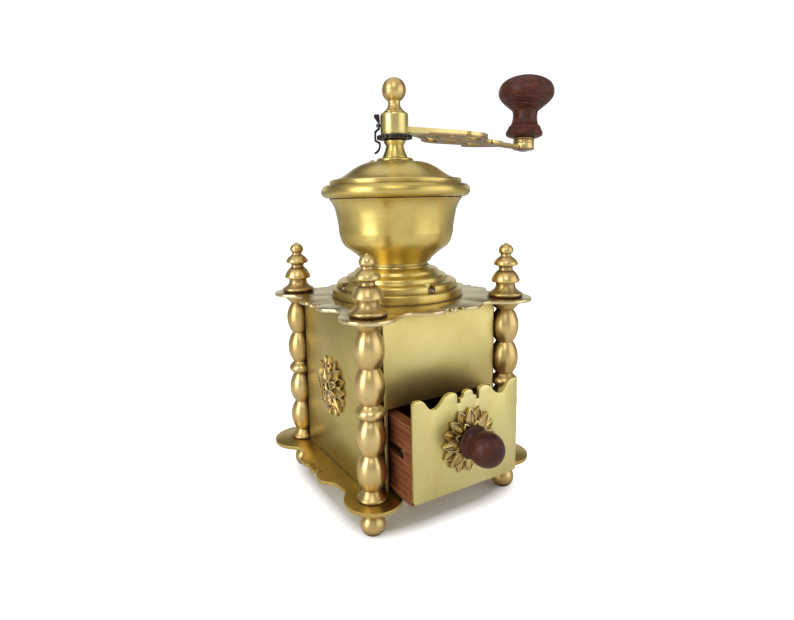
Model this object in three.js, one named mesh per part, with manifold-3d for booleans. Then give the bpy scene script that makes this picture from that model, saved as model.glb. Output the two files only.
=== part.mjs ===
// Brass table coffee grinder: a case on ball feet with four turned columns, a drawer,
// a spun hopper with a domed lid, a conical burr pair and a pierced crank with a wooden knob.
// Millimetres, +Z up. The origin is the middle of the base plate's underside.
import * as THREE from 'three';
import { mergeVertices } from 'three/addons/utils/BufferGeometryUtils.js';
import Module from 'manifold-3d';

const wasm = await Module();
wasm.setup();

// Clearances between neighbouring pieces
const SLIDE_GAP = 0.3;
const BORE_GAP = 0.2;
const TURN_GAP = 0.1;

// Scalloped plates
const BASE_THICKNESS = 2.2;
const TOP_THICKNESS = 1.9;
const COLUMN_PITCH = 100;
const TOP_LOBE_RADIUS = 16.2;
const BASE_CREST = 67.2;
const TOP_CREST = 63.4;
const PLATE_BUMP_STRETCH = 0.74;
const PLATE_EDGE_STRETCH = 1.15;

// The base plate is cut by hand: each lobe's radius, and how far its middle is from the column
const BASE_LOBES = {
  rear_left: { radius: 17.4, shift: [-3.8, -0.4] },
  front_left: { radius: 17, shift: [0.8, 0.3] },
  front_right: { radius: 16.6, shift: [1.7, 2.6] },
  rear_right: { radius: 17.2, shift: [0, 0] },
};

// The edge motif shared by the plates and the drawer front: a small middle bump with
// shoulders, a narrow slit, a broad bump and a valley, as distances from the middle
// and depths below the crest
const BUMP_HALF = 3.3;
const SHOULDER_END = 5.8;
const SHOULDER_DEPTH = 4.3;
const SLIT_END = 8.0;
const SLIT_DEPTH = 6.8;
const BROAD_PEAK = 12.8;
const VALLEY_AT = 24;
const VALLEY_DEPTH = 7.0;

// Case
const CASE_HEIGHT = 104.5;
const PANEL_FACE = 49.7;
const PANEL_WALL = 1.6;
const OPENING_SIDE_STRIP = 2.3;
const OPENING_HEIGHT = 50.4;

// Columns, their tie rods, finials and feet
const BARREL_RADIUS = 8.7;
const BARREL_NECK = 5.3;
const COLUMN_FLARE = 8.9;
const FLARE_HEIGHT = 6.0;
const RING_RADIUS = 8.7;
const RING_HEIGHT = 8.6;
const COLLAR_RADIUS = 8.8;
const COLLAR_HEIGHT = 6.2;
const TIE_ROD_RADIUS = 2.0;
const TIE_ROD_IN_FINIAL = 12;
const TIE_ROD_IN_FOOT = 13;
const FINIAL_RIM = 10.8;
const FINIAL_LOWER_BELL = 8.8;
const FINIAL_UPPER_BELL = 7.6;
const FINIAL_BEAD = 4.5;
const FOOT_HEIGHT = 20.3;
const FOOT_BALL = 7.4;
const FOOT_FLAT = 2.6;
const FOOT_NECK = 4.4;
const FOOT_COLLAR = 6.4;

// Hopper and lid
const PLINTH_RADIUS = 42.8;
const PLINTH_HEIGHT = 5.7;
const STEP_BAND = 39.5;
const STEP_MIDDLE = 32.9;
const STEP_UPPER = 27.8;
const STEPS_HEIGHT = 14.3;
const THROAT_RADIUS = 17.6;
const HOPPER_NECK = 20.6;
const NECK_HEIGHT = 2.5;
const BOWL_LIP = 22.6;
const BOWL_BELLY = 36.3;
const BOWL_SHOULDER = 38.4;
const BOWL_MOUTH = 43.2;
const BOWL_HEIGHT = 41.2;
const BOWL_WALL = 1.5;
const BEAD_CENTRE = 43.9;
const BEAD_RADIUS = 4.1;
const LID_RADIUS = 42.4;
const LID_REBATE = 1.6;
const LID_FLANGE_HEIGHT = 4.7;
const LID_LEDGE = 2.4;
const DOME_EDGE = 38.8;
const DOME_RISE = 11.3;
const DOME_FLAT = 12;
const DOME_WALL = 1.2;

// Filling hatch in the far side of the dome
const HATCH_AZIMUTH = 60;
const WINDOW_ANGLE = 84;
const WINDOW_INNER = 16;
const WINDOW_OUTER = 34;
const HATCH_LAP = 7;
const HATCH_WALL = 1.0;
const HATCH_EYE = 9.5;
const HATCH_KNOB_RADIUS = 2.6;
const HATCH_KNOB_HEIGHT = 6.5;

// Hopper screws
const SCREW_CIRCLE = 38.4;
const SCREW_SHANK = 1.6;
const SCREW_HEAD = 2.6;
const SCREW_HEAD_HEIGHT = 1.9;
const SCREW_REACH = 12.5;
const SCREW_FLOOR = 1.2;

// Burrs, spindle and lower bearing
const SPINDLE_RADIUS = 4.0;
const SPINDLE_THREAD = 3.0;
const OUTER_BURR_RADIUS = 24;
const BURR_FLANGE_RADIUS = 28.2;
const BURR_DEPTH = 21;
const BURR_BORE = 16;
const BURR_TOOTH = 0.9;
const OUTER_BURR_TEETH = 20;
const INNER_BURR_TOP = 7.5;
const INNER_BURR_BOTTOM = 13.6;
const INNER_BURR_HEIGHT = 20;
const INNER_BURR_RIDGES = 9;
const BRIDGE_THICKNESS = 4;
const BRIDGE_STRAP = 1.8;
const BRIDGE_WIDTH = 14;
const BRIDGE_DROP = 28.8;
const BRIDGE_FOOT = 9;
const SPRING_RADIUS = 6.6;
const SPRING_WIRE = 0.7;
const SPRING_TURNS = 4;

// Spindle guard, grind nut, crank hub and ball nut
const GUARD_FLANGE = 11.8;
const GUARD_FLANGE_HEIGHT = 2.0;
const GUARD_BASE = 8.2;
const GUARD_NECK = 5.6;
const GUARD_COLLAR = 7.0;
const GUARD_HEIGHT = 11.6;
const GUARD_SHANK = 5.4;
const GRIND_NUT_RADIUS = 11.4;
const GRIND_NUT_ROOT = 9.7;
const GRIND_NUT_HEIGHT = 3.7;
const GRIND_NUT_NOTCHES = 12;
const HUB_RADIUS = 8.9;
const HUB_HEIGHT = 12.2;
const BALL_RADIUS = 7.7;
const BALL_NUT_FLARE = 7.0;
const BALL_NUT_NECK = 3.9;
const BALL_NUT_HEIGHT = 21.7;

// Latch beside the hub
const LATCH_AZIMUTH = 144;
const LATCH_WIDTH = 4;
const LATCH_WALL = 1.3;
const LATCH_PIVOT_HEIGHT = 4.7;
const LATCH_PIN_RADIUS = 0.9;
const LATCH_PIN_HEAD = 1.5;

// Crank arm and knob; the arm droops from the hub towards the knob
const CRANK_RADIUS = 126;
const CRANK_AZIMUTH = 5.4;
const ARM_DROOP = 2.9;
const ARM_RISE = 0.8;
const ARM_THICKNESS = 3.8;
const ARM_TAPER = 0.5;
const ARM_STEM = 3.0;
const ARM_STEM_THICKNESS = 2.9;
const ARM_ROOT = 4.6;
const BOSS_RADIUS = 8.0;
const BOSS_HEIGHT = 4.6;
const FERRULE_RADIUS = 7.9;
const FERRULE_HEIGHT = 4.2;
const KNOB_PIN_RADIUS = 2.6;
const KNOB_PIN_HEAD = 4.2;
const KNOB_PIN_HEAD_HEIGHT = 1.2;
const KNOB_PIN_IN_KNOB = 33;
const KNOB_FLANGE = 14.1;
const KNOB_NECK = 9.0;
const KNOB_HEAD = 21.2;
const KNOB_HEIGHT = 46.4;

// Drawer
const DRAWER_OPEN = 22;
const DRAWER_OUT_OF_FACE = 0.3;
const FRONT_THICKNESS = 2.3;
const FRONT_HALF_WIDTH = 37.6;
const FRONT_HEIGHT = 59.1;
const FRONT_LIFT = 3.0;
const FRONT_CORNER_AT = 33;
const FRONT_CORNER_ROUND = 2.5;
const BOX_HALF_WIDTH = 37.3;
const BOX_DEPTH = 85;
const BOX_LIFT = 1.5;
const SIDE_THICKNESS = 7;
const SIDE_HEIGHT = 42;
const BOARD_THICKNESS = 6;
const FLOOR_THICKNESS = 3.5;
const FLOOR_LIP = 0.5;
const GROOVE_HEIGHT = 5.4;
const GROOVE_DEPTH = 4.2;
const GROOVE_LIFT = 27.2;
const GROOVE_STOP = 8;
const RUNNER_LENGTH = 72;
const RUNNER_FRONT = 34;
const DRAWER_KNOB_HEAD = 9.8;
const DRAWER_KNOB_COLLAR = 9.9;
const DRAWER_KNOB_REACH = 25.4;
const DRAWER_KNOB_SPIGOT = 3.8;

// Rosettes
const ROSETTE_RADIUS = 19.6;
const ROSETTE_HOLLOW = 14.6;
const ROSETTE_LAYER = 1.2;
const ROSETTE_INNER = 11;
const ROSETTE_EYE = 5.6;
const ROSETTE_PETALS = 8;

// Levels that follow from the sizes above
const baseTop = BASE_THICKNESS;
const caseTop = baseTop + CASE_HEIGHT;
const plateTop = caseTop + TOP_THICKNESS;
const plinthTop = plateTop + PLINTH_HEIGHT;
const stepsTop = plinthTop + STEPS_HEIGHT;
const bowlFoot = stepsTop + NECK_HEIGHT;
const beadFoot = bowlFoot + BOWL_HEIGHT;
const beadTop = beadFoot + 2 * BEAD_RADIUS;
const lidSeat = beadTop - LID_REBATE;
const lidTop = lidSeat + LID_FLANGE_HEIGHT;
const domeTop = lidTop + DOME_RISE;
const guardFlangeTop = domeTop + GUARD_FLANGE_HEIGHT;
const guardTop = guardFlangeTop + GUARD_HEIGHT;
const nutFoot = guardTop + SLIDE_GAP;
const nutTop = nutFoot + GRIND_NUT_HEIGHT;
const hubFoot = nutTop + SLIDE_GAP;
const hubTop = hubFoot + HUB_HEIGHT;
const innerBurrTop = plinthTop - 4;
const innerBurrFoot = innerBurrTop - INNER_BURR_HEIGHT;
const bridgeFoot = caseTop - BRIDGE_DROP;
const bridgeTop = bridgeFoot + BRIDGE_THICKNESS;
const springHeight = innerBurrFoot - bridgeTop - 2 * SLIDE_GAP;
const halfPitch = COLUMN_PITCH / 2;
const panelHalfWidth = halfPitch - COLUMN_FLARE - SLIDE_GAP;
const frontBack = -(PANEL_FACE + DRAWER_OUT_OF_FACE + DRAWER_OPEN);
const frontFace = frontBack - FRONT_THICKNESS;
const boxFoot = baseTop + BOX_LIFT;
const sideFoot = boxFoot + FLOOR_THICKNESS;
const frontFoot = baseTop + FRONT_LIFT;
const frontMiddle = frontFoot + FRONT_HEIGHT / 2;

const radians = THREE.MathUtils.degToRad;

// Materials
const metal = (color, roughness) => new THREE.MeshStandardMaterial({ color, roughness, metalness: 1 });
const plain = (color, roughness) => new THREE.MeshStandardMaterial({ color, roughness, metalness: 0 });
const sheetBrass = metal(0xc9b468, 0.38);
const turnedBrass = metal(0xc8a25a, 0.3);
const spunBrass = metal(0xbfa24a, 0.32);
const castBrass = metal(0xb8934a, 0.42);
const darkWood = plain(0x4a2218, 0.45);
const drawerWood = plain(0x7d4527, 0.6);
const steel = metal(0x8d8d8f, 0.35);
const blackSteel = metal(0x2a2625, 0.5);
const castIron = metal(0x4a4a4c, 0.6);

// Solids

/** One closed body from a geometry: shared corners merged, slivers dropped, faces outwards. */
function closed(geometry) {
  const bare = geometry.clone();
  bare.deleteAttribute('normal');
  bare.deleteAttribute('uv');
  bare.clearGroups();
  const merged = mergeVertices(bare, 1e-4);
  const corners = merged.getAttribute('position');
  const faces = [];
  let volume = 0;
  const [a, b, c] = [new THREE.Vector3(), new THREE.Vector3(), new THREE.Vector3()];
  for (let i = 0; i < merged.index.count; i += 3) {
    const [p, q, r] = [0, 1, 2].map((k) => merged.index.getX(i + k));
    if (p === q || q === r || r === p) continue;
    faces.push(p, q, r);
    a.fromBufferAttribute(corners, p);
    b.fromBufferAttribute(corners, q);
    c.fromBufferAttribute(corners, r);
    volume += a.dot(b.cross(c)) / 6;
  }
  if (volume < 0) faces.reverse();
  merged.setIndex(faces);
  return merged;
}

/** A geometry as a solid that can be joined and cut. */
function solidOf(geometry) {
  const body = closed(geometry);
  return new wasm.Manifold(new wasm.Mesh({
    numProp: 3,
    vertProperties: new Float32Array(body.getAttribute('position').array),
    triVerts: new Uint32Array(body.index.array),
  }));
}

/** A joined or cut solid back as a geometry. */
function geometryOf(solid) {
  const mesh = solid.getMesh();
  const geometry = new THREE.BufferGeometry();
  geometry.setAttribute('position', new THREE.BufferAttribute(new Float32Array(mesh.vertProperties), 3));
  geometry.setIndex(new THREE.BufferAttribute(new Uint32Array(mesh.triVerts), 1));
  return geometry;
}

const union = (...parts) => geometryOf(parts.map(solidOf).reduce((whole, part) => whole.add(part)));
const cut = (body, ...tools) =>
  geometryOf(tools.map(solidOf).reduce((rest, tool) => rest.subtract(tool), solidOf(body)));
const common = (body, other) => geometryOf(solidOf(body).intersect(solidOf(other)));

/** A profile of (radius, height) points turned about +Z. */
function turnedPoints(points, segments) {
  return closed(new THREE.LatheGeometry(points, segments).rotateX(Math.PI / 2));
}

/** A profile path turned about +Z. */
const turned = (path, segments, steps = 5) => turnedPoints(path.getPoints(steps), segments);

/** A closed ring or rod between two heights. */
function ring(inner, outer, from, to, segments = 24) {
  const path = new THREE.Path();
  path.moveTo(inner, from).lineTo(outer, from).lineTo(outer, to).lineTo(inner, to);
  if (inner > 0) path.lineTo(inner, from);
  return turned(path, segments);
}
const rod = (radius, from, to, segments = 24) => ring(0, radius, from, to, segments);

/** A flat shape raised from one height to another. */
function prism(shape, from, to, curveSegments = 5) {
  const depth = to - from;
  const geometry = new THREE.ExtrudeGeometry(shape, { depth, bevelEnabled: false, curveSegments });
  return closed(geometry.translate(0, 0, from));
}

/** A block between two corners. */
function block([x0, y0, z0], [x1, y1, z1]) {
  const geometry = new THREE.BoxGeometry(x1 - x0, y1 - y0, z1 - z0);
  return closed(geometry.translate((x0 + x1) / 2, (y0 + y1) / 2, (z0 + z1) / 2));
}

/** Points round a circle. */
function circlePoints(radius, segments, x = 0, y = 0) {
  return Array.from({ length: segments }, (_, i) => {
    const angle = i * 2 * Math.PI / segments;
    return new THREE.Vector2(x + radius * Math.cos(angle), y + radius * Math.sin(angle));
  });
}
const roundHole = (x, y, radius, segments = 12) => new THREE.Path(circlePoints(radius, segments, x, y));

/** A closed outline through corner points, each corner rounded off. */
function roundedLoop(Outline, corners, radius) {
  const points = corners.map(([x, y]) => new THREE.Vector2(x, y));
  const outline = new Outline();
  points.forEach((corner, i) => {
    const before = points[(i + points.length - 1) % points.length];
    const after = points[(i + 1) % points.length];
    const reach = Math.min(radius, corner.distanceTo(before) / 2, corner.distanceTo(after) / 2);
    const start = before.clone().sub(corner).setLength(reach).add(corner);
    const end = after.clone().sub(corner).setLength(reach).add(corner);
    if (i === 0) outline.moveTo(start.x, start.y);
    else outline.lineTo(start.x, start.y);
    outline.quadraticCurveTo(corner.x, corner.y, end.x, end.y);
  });
  outline.closePath();
  return outline;
}

/** Points moved sideways by a distance, to the left of the way they run. */
function offsetPoints(points, distance) {
  return points.map((point, i) => {
    const before = points[Math.max(i - 1, 0)];
    const after = points[Math.min(i + 1, points.length - 1)];
    const along = after.clone().sub(before).normalize();
    return new THREE.Vector2(point.x - along.y * distance, point.y + along.x * distance);
  });
}

/** A spun shell: an outer line of points with a wall on its left. */
function shell(points, wall, segments) {
  const inner = offsetPoints(points, wall).reverse();
  return turnedPoints([...points, ...inner, points[0].clone()], segments);
}

// The object and its sub-parts
const grinder = new THREE.Group();

function add(name, geometry, material, parent = grinder) {
  const mesh = new THREE.Mesh(closed(geometry), material);
  mesh.name = name;
  parent.add(mesh);
  return mesh;
}

/** Right half of the shared edge motif: a path from the middle out to the valley. */
function motifHalf(bumpStretch, edgeStretch, slitDepth) {
  const line = new THREE.Path();
  line.moveTo(0, -0.3);
  line.quadraticCurveTo(BUMP_HALF * bumpStretch, -0.3, BUMP_HALF * bumpStretch, -SHOULDER_DEPTH * 0.7);
  line.lineTo((BUMP_HALF + 0.6) * bumpStretch, -SHOULDER_DEPTH);
  line.lineTo(SHOULDER_END * bumpStretch, -SHOULDER_DEPTH);
  line.lineTo(SHOULDER_END * bumpStretch, -slitDepth);
  line.lineTo(SLIT_END * bumpStretch, -slitDepth);
  line.lineTo(SLIT_END * bumpStretch, -2.2);
  const peak = BROAD_PEAK * edgeStretch;
  const valley = VALLEY_AT * edgeStretch;
  line.bezierCurveTo(SLIT_END * bumpStretch + 0.6, 0, peak - 2.5, 0, peak, 0);
  line.bezierCurveTo(peak + 5, 0, valley - 5.5, -VALLEY_DEPTH, valley, -VALLEY_DEPTH);
  return line;
}

/** Outline of a plate with a round lobe about each column and the motif on each side. */
function scallopedPlate(crest, lobes) {
  const valley = VALLEY_AT * PLATE_EDGE_STRETCH;
  const side = ({ radius, middle }) => {
    const joint = new THREE.Vector2(radius, 0).rotateAround(new THREE.Vector2(), radians(135)).add(middle);
    const half = motifHalf(PLATE_BUMP_STRETCH, PLATE_EDGE_STRETCH, SHOULDER_DEPTH + 1.2);
    const drop = joint.y - crest;
    half.bezierCurveTo(valley + 4.5, -VALLEY_DEPTH, joint.x - 2.4, drop - 2.4, joint.x, drop);
    return half.getPoints(3).map(({ x, y }) => new THREE.Vector2(x, y + crest));
  };
  const outline = lobes.flatMap((lobe, turn) => {
    const before = lobes[(turn + 3) % 4];
    const [bx, by] = before.shift;
    const [lx, ly] = lobe.shift;
    const spin = (x, y) => new THREE.Vector2(x, y).rotateAround(new THREE.Vector2(), -turn * Math.PI / 2);
    const rightMiddle = new THREE.Vector2(halfPitch, halfPitch).add(spin(bx, by));
    const leftMiddle = new THREE.Vector2(-halfPitch, halfPitch).add(spin(lx, ly));
    const mirrored = new THREE.Vector2(-leftMiddle.x, leftMiddle.y);
    const right = side({ radius: before.radius, middle: rightMiddle }).reverse();
    const left = side({ radius: lobe.radius, middle: mirrored }).slice(1);
    const arc = new THREE.Path().absarc(leftMiddle.x, leftMiddle.y, lobe.radius, Math.PI / 4, Math.PI * 1.25);
    const points = [...right, ...left.map(({ x, y }) => new THREE.Vector2(-x, y)),
      ...arc.getPoints(7).slice(1, -1)];
    return points.map((point) => point.rotateAround(new THREE.Vector2(), turn * Math.PI / 2));
  });
  return new THREE.Shape(outline);
}

// The middle of the base plate's underside is one facet, clear of the feet, to rest on a stand
const REST_FACET = [[0, 40], [-36, -22], [36, -22]].map(([x, y]) => new THREE.Vector2(x, y));

const corners = [
  ['front_left', -1, -1], ['front_right', 1, -1], ['rear_right', 1, 1], ['rear_left', -1, 1],
];
const screwPlaces = [0, 1, 2, 3].map((turn) => {
  const angle = turn * Math.PI / 2;
  return [SCREW_CIRCLE * Math.cos(angle), SCREW_CIRCLE * Math.sin(angle)];
});
const screwHole = SCREW_SHANK + BORE_GAP;
const tieHole = TIE_ROD_RADIUS + BORE_GAP;
const bridgeScrewAt = OUTER_BURR_RADIUS + SLIDE_GAP + BRIDGE_STRAP + BRIDGE_FOOT / 2;

function addPlates() {
  const plain = { radius: TOP_LOBE_RADIUS, shift: [0, 0] };
  const base = scallopedPlate(BASE_CREST, Object.values(BASE_LOBES));
  const top = scallopedPlate(TOP_CREST, [plain, plain, plain, plain]);
  for (const [, sx, sy] of corners) {
    base.holes.push(roundHole(sx * halfPitch, sy * halfPitch, tieHole));
    top.holes.push(roundHole(sx * halfPitch, sy * halfPitch, tieHole));
  }
  top.holes.push(roundHole(0, 0, OUTER_BURR_RADIUS + SLIDE_GAP, 32));
  for (const [x, y] of screwPlaces) top.holes.push(roundHole(x, y, screwHole));
  for (const side of [-1, 1]) top.holes.push(roundHole(side * bridgeScrewAt, 0, screwHole));
  base.holes.push(new THREE.Path(REST_FACET));
  const middle = new THREE.Shape(REST_FACET);
  add('base_plate', union(prism(base, 0, baseTop), prism(middle, 0, baseTop)), sheetBrass);
  add('top_plate', prism(top, caseTop, plateTop), sheetBrass);
}

/** A case panel in plan: the web and two returned edges that end at the given depth. */
function panelPlan(returnEnd) {
  const [w, f, t] = [panelHalfWidth, PANEL_FACE, PANEL_WALL];
  const outline = [
    [-w, returnEnd], [-w + t, returnEnd], [-w + t, f - t], [w - t, f - t],
    [w - t, returnEnd], [w, returnEnd], [w, f], [-w, f],
  ];
  return new THREE.Shape(outline.map(([x, y]) => new THREE.Vector2(x, y)));
}

function addPanels() {
  const wide = panelHalfWidth - PANEL_WALL;
  const long = prism(panelPlan(wide), baseTop, caseTop);
  const short = prism(panelPlan(panelHalfWidth), baseTop, caseTop);
  const openingHalf = panelHalfWidth - OPENING_SIDE_STRIP;
  const opening = block([-openingHalf, PANEL_FACE - 2 * PANEL_WALL, baseTop - 1],
    [openingHalf, PANEL_FACE + 1, baseTop + OPENING_HEIGHT]);
  add('front_panel', cut(long, opening).rotateZ(Math.PI), sheetBrass);
  add('rear_panel', long, sheetBrass);
  add('left_panel', short.clone().rotateZ(Math.PI / 2), sheetBrass);
  add('right_panel', short.clone().rotateZ(-Math.PI / 2), sheetBrass);
}

/** Adds one turned barrel to a profile. */
function barrel(path, from, length) {
  const reach = BARREL_NECK + (BARREL_RADIUS - BARREL_NECK) * 4 / 3;
  path.bezierCurveTo(reach, from + length * 0.27, reach, from + length * 0.73, BARREL_NECK, from + length);
}

function columnProfile() {
  const barrelLength = (CASE_HEIGHT - FLARE_HEIGHT - RING_HEIGHT - COLLAR_HEIGHT) / 4;
  const path = new THREE.Path();
  path.moveTo(tieHole, 0).lineTo(COLUMN_FLARE - 0.5, 0);
  path.lineTo(COLUMN_FLARE, 0.8).lineTo(COLUMN_FLARE - 0.3, 1.8);
  path.quadraticCurveTo(BARREL_NECK + 1.2, FLARE_HEIGHT * 0.6, BARREL_NECK, FLARE_HEIGHT);
  let height = FLARE_HEIGHT;
  for (const pair of [0, 1]) {
    for (const turn of [0, 1]) {
      barrel(path, height, barrelLength);
      height += barrelLength;
    }
    if (pair === 0) {
      path.lineTo(RING_RADIUS - 0.9, height + RING_HEIGHT * 0.22);
      path.quadraticCurveTo(RING_RADIUS + 0.9, height + RING_HEIGHT * 0.46,
        RING_RADIUS - 1.2, height + RING_HEIGHT * 0.74);
      path.lineTo(BARREL_NECK + 1.4, height + RING_HEIGHT * 0.8);
      path.lineTo(BARREL_NECK, height + RING_HEIGHT);
      height += RING_HEIGHT;
    }
  }
  path.quadraticCurveTo(COLLAR_RADIUS - 1.6, height + COLLAR_HEIGHT * 0.3,
    COLLAR_RADIUS, height + COLLAR_HEIGHT * 0.62);
  path.lineTo(COLLAR_RADIUS, CASE_HEIGHT - 0.5).lineTo(COLLAR_RADIUS - 0.5, CASE_HEIGHT);
  path.lineTo(tieHole, CASE_HEIGHT).lineTo(tieHole, 0);
  return path;
}

function finialProfile() {
  const path = new THREE.Path();
  path.moveTo(tieHole, 0).lineTo(FINIAL_RIM - 1.8, 0).lineTo(FINIAL_RIM - 1.6, 0.8);
  path.lineTo(FINIAL_RIM, 1.2).lineTo(FINIAL_RIM, 2.2);
  path.quadraticCurveTo(6.6, 3.8, 6.0, 7);
  path.lineTo(6.0, 9.5).lineTo(FINIAL_LOWER_BELL - 0.4, 9.8).lineTo(FINIAL_LOWER_BELL, 10.6);
  path.quadraticCurveTo(FINIAL_LOWER_BELL - 0.8, 14, 4.6, 16);
  path.lineTo(4.4, 20.2).lineTo(FINIAL_UPPER_BELL - 0.4, 20.4).lineTo(FINIAL_UPPER_BELL, 21.1);
  path.quadraticCurveTo(FINIAL_UPPER_BELL - 0.8, 23.9, 3.4, 25.1);
  path.lineTo(3.1, 26.6).lineTo(FINIAL_BEAD - 0.7, 27.7).lineTo(FINIAL_BEAD, 29.4);
  path.lineTo(FINIAL_BEAD - 0.5, 31.3).lineTo(2.6, 33.0).lineTo(1.2, 33.8).lineTo(0, 34.1);
  path.lineTo(0, TIE_ROD_IN_FINIAL).lineTo(tieHole, TIE_ROD_IN_FINIAL).lineTo(tieHole, 0);
  return path;
}

function footProfile() {
  const ballCentre = -FOOT_HEIGHT + Math.sqrt(FOOT_BALL ** 2 - FOOT_FLAT ** 2);
  const path = new THREE.Path();
  path.moveTo(0, -FOOT_HEIGHT).lineTo(FOOT_FLAT, -FOOT_HEIGHT);
  path.absarc(0, ballCentre, FOOT_BALL,
    -Math.acos(FOOT_FLAT / FOOT_BALL), Math.acos(FOOT_NECK / FOOT_BALL));
  path.lineTo(FOOT_NECK, -2.6).lineTo(FOOT_COLLAR, -1.8).lineTo(FOOT_COLLAR, 0);
  path.lineTo(tieHole, 0).lineTo(tieHole, -TIE_ROD_IN_FOOT).lineTo(0, -TIE_ROD_IN_FOOT);
  return path;
}

function addColumns() {
  const column = turned(columnProfile(), 12, 3);
  const finial = turned(finialProfile(), 12, 2);
  const foot = turned(footProfile(), 12, 4);
  const tieRod = rod(TIE_ROD_RADIUS, -TIE_ROD_IN_FOOT + SLIDE_GAP,
    plateTop + TIE_ROD_IN_FINIAL - SLIDE_GAP, 12);
  for (const [corner, sx, sy] of corners) {
    const [x, y] = [sx * halfPitch, sy * halfPitch];
    add(`column_${corner}`, column, turnedBrass).position.set(x, y, baseTop);
    add(`finial_${corner}`, finial, turnedBrass).position.set(x, y, plateTop);
    add(`foot_${corner}`, foot, turnedBrass).position.set(x, y, 0);
    add(`tie_rod_${corner}`, tieRod, steel).position.set(x, y, 0);
  }
}

/** A ring of pointed petals as a flat outline. */
function petalRing(tip, hollow, start) {
  const step = 2 * Math.PI / ROSETTE_PETALS;
  const at = (radius, angle) => [radius * Math.cos(angle), radius * Math.sin(angle)];
  const outline = new THREE.Shape();
  outline.moveTo(...at(hollow, start - step / 2));
  for (let petal = 0; petal < ROSETTE_PETALS; petal += 1) {
    const middle = start + petal * step;
    outline.quadraticCurveTo(...at((tip + hollow) / 2 + 1, middle - step * 0.34), ...at(tip, middle));
    outline.quadraticCurveTo(...at((tip + hollow) / 2 + 1, middle + step * 0.34),
      ...at(hollow, middle + step / 2));
  }
  return outline;
}

/** A cast rosette with its back on z = 0: two layers of petals, an inner ring and an eye. */
function rosette(hole) {
  const step = Math.PI / ROSETTE_PETALS;
  const layers = [
    prism(petalRing(ROSETTE_RADIUS, ROSETTE_HOLLOW, step), 0, ROSETTE_LAYER, 2),
    prism(petalRing(ROSETTE_RADIUS - 0.4, ROSETTE_HOLLOW - 3, 0), 0.2, 2 * ROSETTE_LAYER, 2),
    prism(petalRing(ROSETTE_INNER, ROSETTE_INNER - 3, step), 0.4, 2.8 * ROSETTE_LAYER, 2),
    rod(ROSETTE_EYE, 0.6, 3 * ROSETTE_LAYER, 16),
  ];
  return cut(union(...layers), rod(hole, -1, 6 * ROSETTE_LAYER, 16));
}

function addSideRosettes() {
  const height = baseTop + CASE_HEIGHT / 2;
  for (const [name, side] of [['left_rosette', -1], ['right_rosette', 1]]) {
    const casting = rosette(2.4).rotateX(Math.PI / 2).rotateZ(side * Math.PI / 2);
    add(name, casting, castBrass).position.set(side * PANEL_FACE, 0, height);
  }
}

/** The stepped hopper base: a round-edged band, a step and a cove up to the neck. */
function stepsProfile() {
  const path = new THREE.Path();
  path.moveTo(THROAT_RADIUS, 0).lineTo(STEP_BAND, 0).lineTo(STEP_BAND, 2.6);
  path.quadraticCurveTo(STEP_BAND, 4.8, STEP_BAND - 2.6, 5.0);
  path.lineTo(STEP_MIDDLE + 0.5, 5.2).lineTo(STEP_MIDDLE, 6.2);
  path.quadraticCurveTo(STEP_MIDDLE, 8.3, STEP_MIDDLE - 2.2, 8.6);
  path.quadraticCurveTo(STEP_UPPER + 0.3, 9.0, STEP_UPPER, 10.4);
  path.quadraticCurveTo(STEP_UPPER - 0.4, 12.4, HOPPER_NECK + 3, 12.9);
  path.quadraticCurveTo(HOPPER_NECK + 1.0, 13.2, HOPPER_NECK + 0.8, STEPS_HEIGHT);
  path.lineTo(THROAT_RADIUS, STEPS_HEIGHT).lineTo(THROAT_RADIUS, 0);
  return path;
}

/** Outer line of the hopper bowl from its lip up to the groove under the bead. */
function bowlLine() {
  const path = new THREE.Path();
  path.moveTo(BOWL_LIP, 0.6);
  path.bezierCurveTo(BOWL_LIP + 1.6, 3.4, BOWL_LIP + 6, 6.6, BOWL_BELLY - 3.4, 9.6);
  path.bezierCurveTo(BOWL_BELLY - 0.6, 12, BOWL_BELLY, 15, BOWL_BELLY + 0.9, 19);
  path.bezierCurveTo(BOWL_SHOULDER - 1, 24, BOWL_SHOULDER - 0.2, 28, BOWL_SHOULDER + 0.4, 31.5);
  path.quadraticCurveTo(BOWL_SHOULDER + 1.6, 37.5, BOWL_MOUTH, BOWL_HEIGHT - 0.6);
  return path;
}

/** The bowl with its rolled rim, as a closed ring of points. */
function bowlPoints() {
  const outer = bowlLine().getPoints(3);
  const bead = new THREE.Path();
  bead.absarc(BEAD_CENTRE, BOWL_HEIGHT + BEAD_RADIUS, BEAD_RADIUS, -Math.PI / 2, Math.PI / 2);
  const seatRadius = LID_RADIUS + SLIDE_GAP;
  const rebate = BOWL_HEIGHT + 2 * BEAD_RADIUS - LID_REBATE;
  const inner = offsetPoints(outer, BOWL_WALL).reverse();
  const point = (x, y) => new THREE.Vector2(x, y);
  return [
    point(THROAT_RADIUS, -NECK_HEIGHT), point(HOPPER_NECK, -NECK_HEIGHT), point(HOPPER_NECK, -0.3),
    point(BOWL_LIP - 0.4, 0), ...outer, point(BEAD_CENTRE - 1.6, BOWL_HEIGHT), ...bead.getPoints(5),
    point(seatRadius, BOWL_HEIGHT + 2 * BEAD_RADIUS), point(seatRadius, rebate),
    point(seatRadius - LID_LEDGE, rebate), ...inner, point(THROAT_RADIUS, 3),
    point(THROAT_RADIUS, -NECK_HEIGHT),
  ];
}

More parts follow.
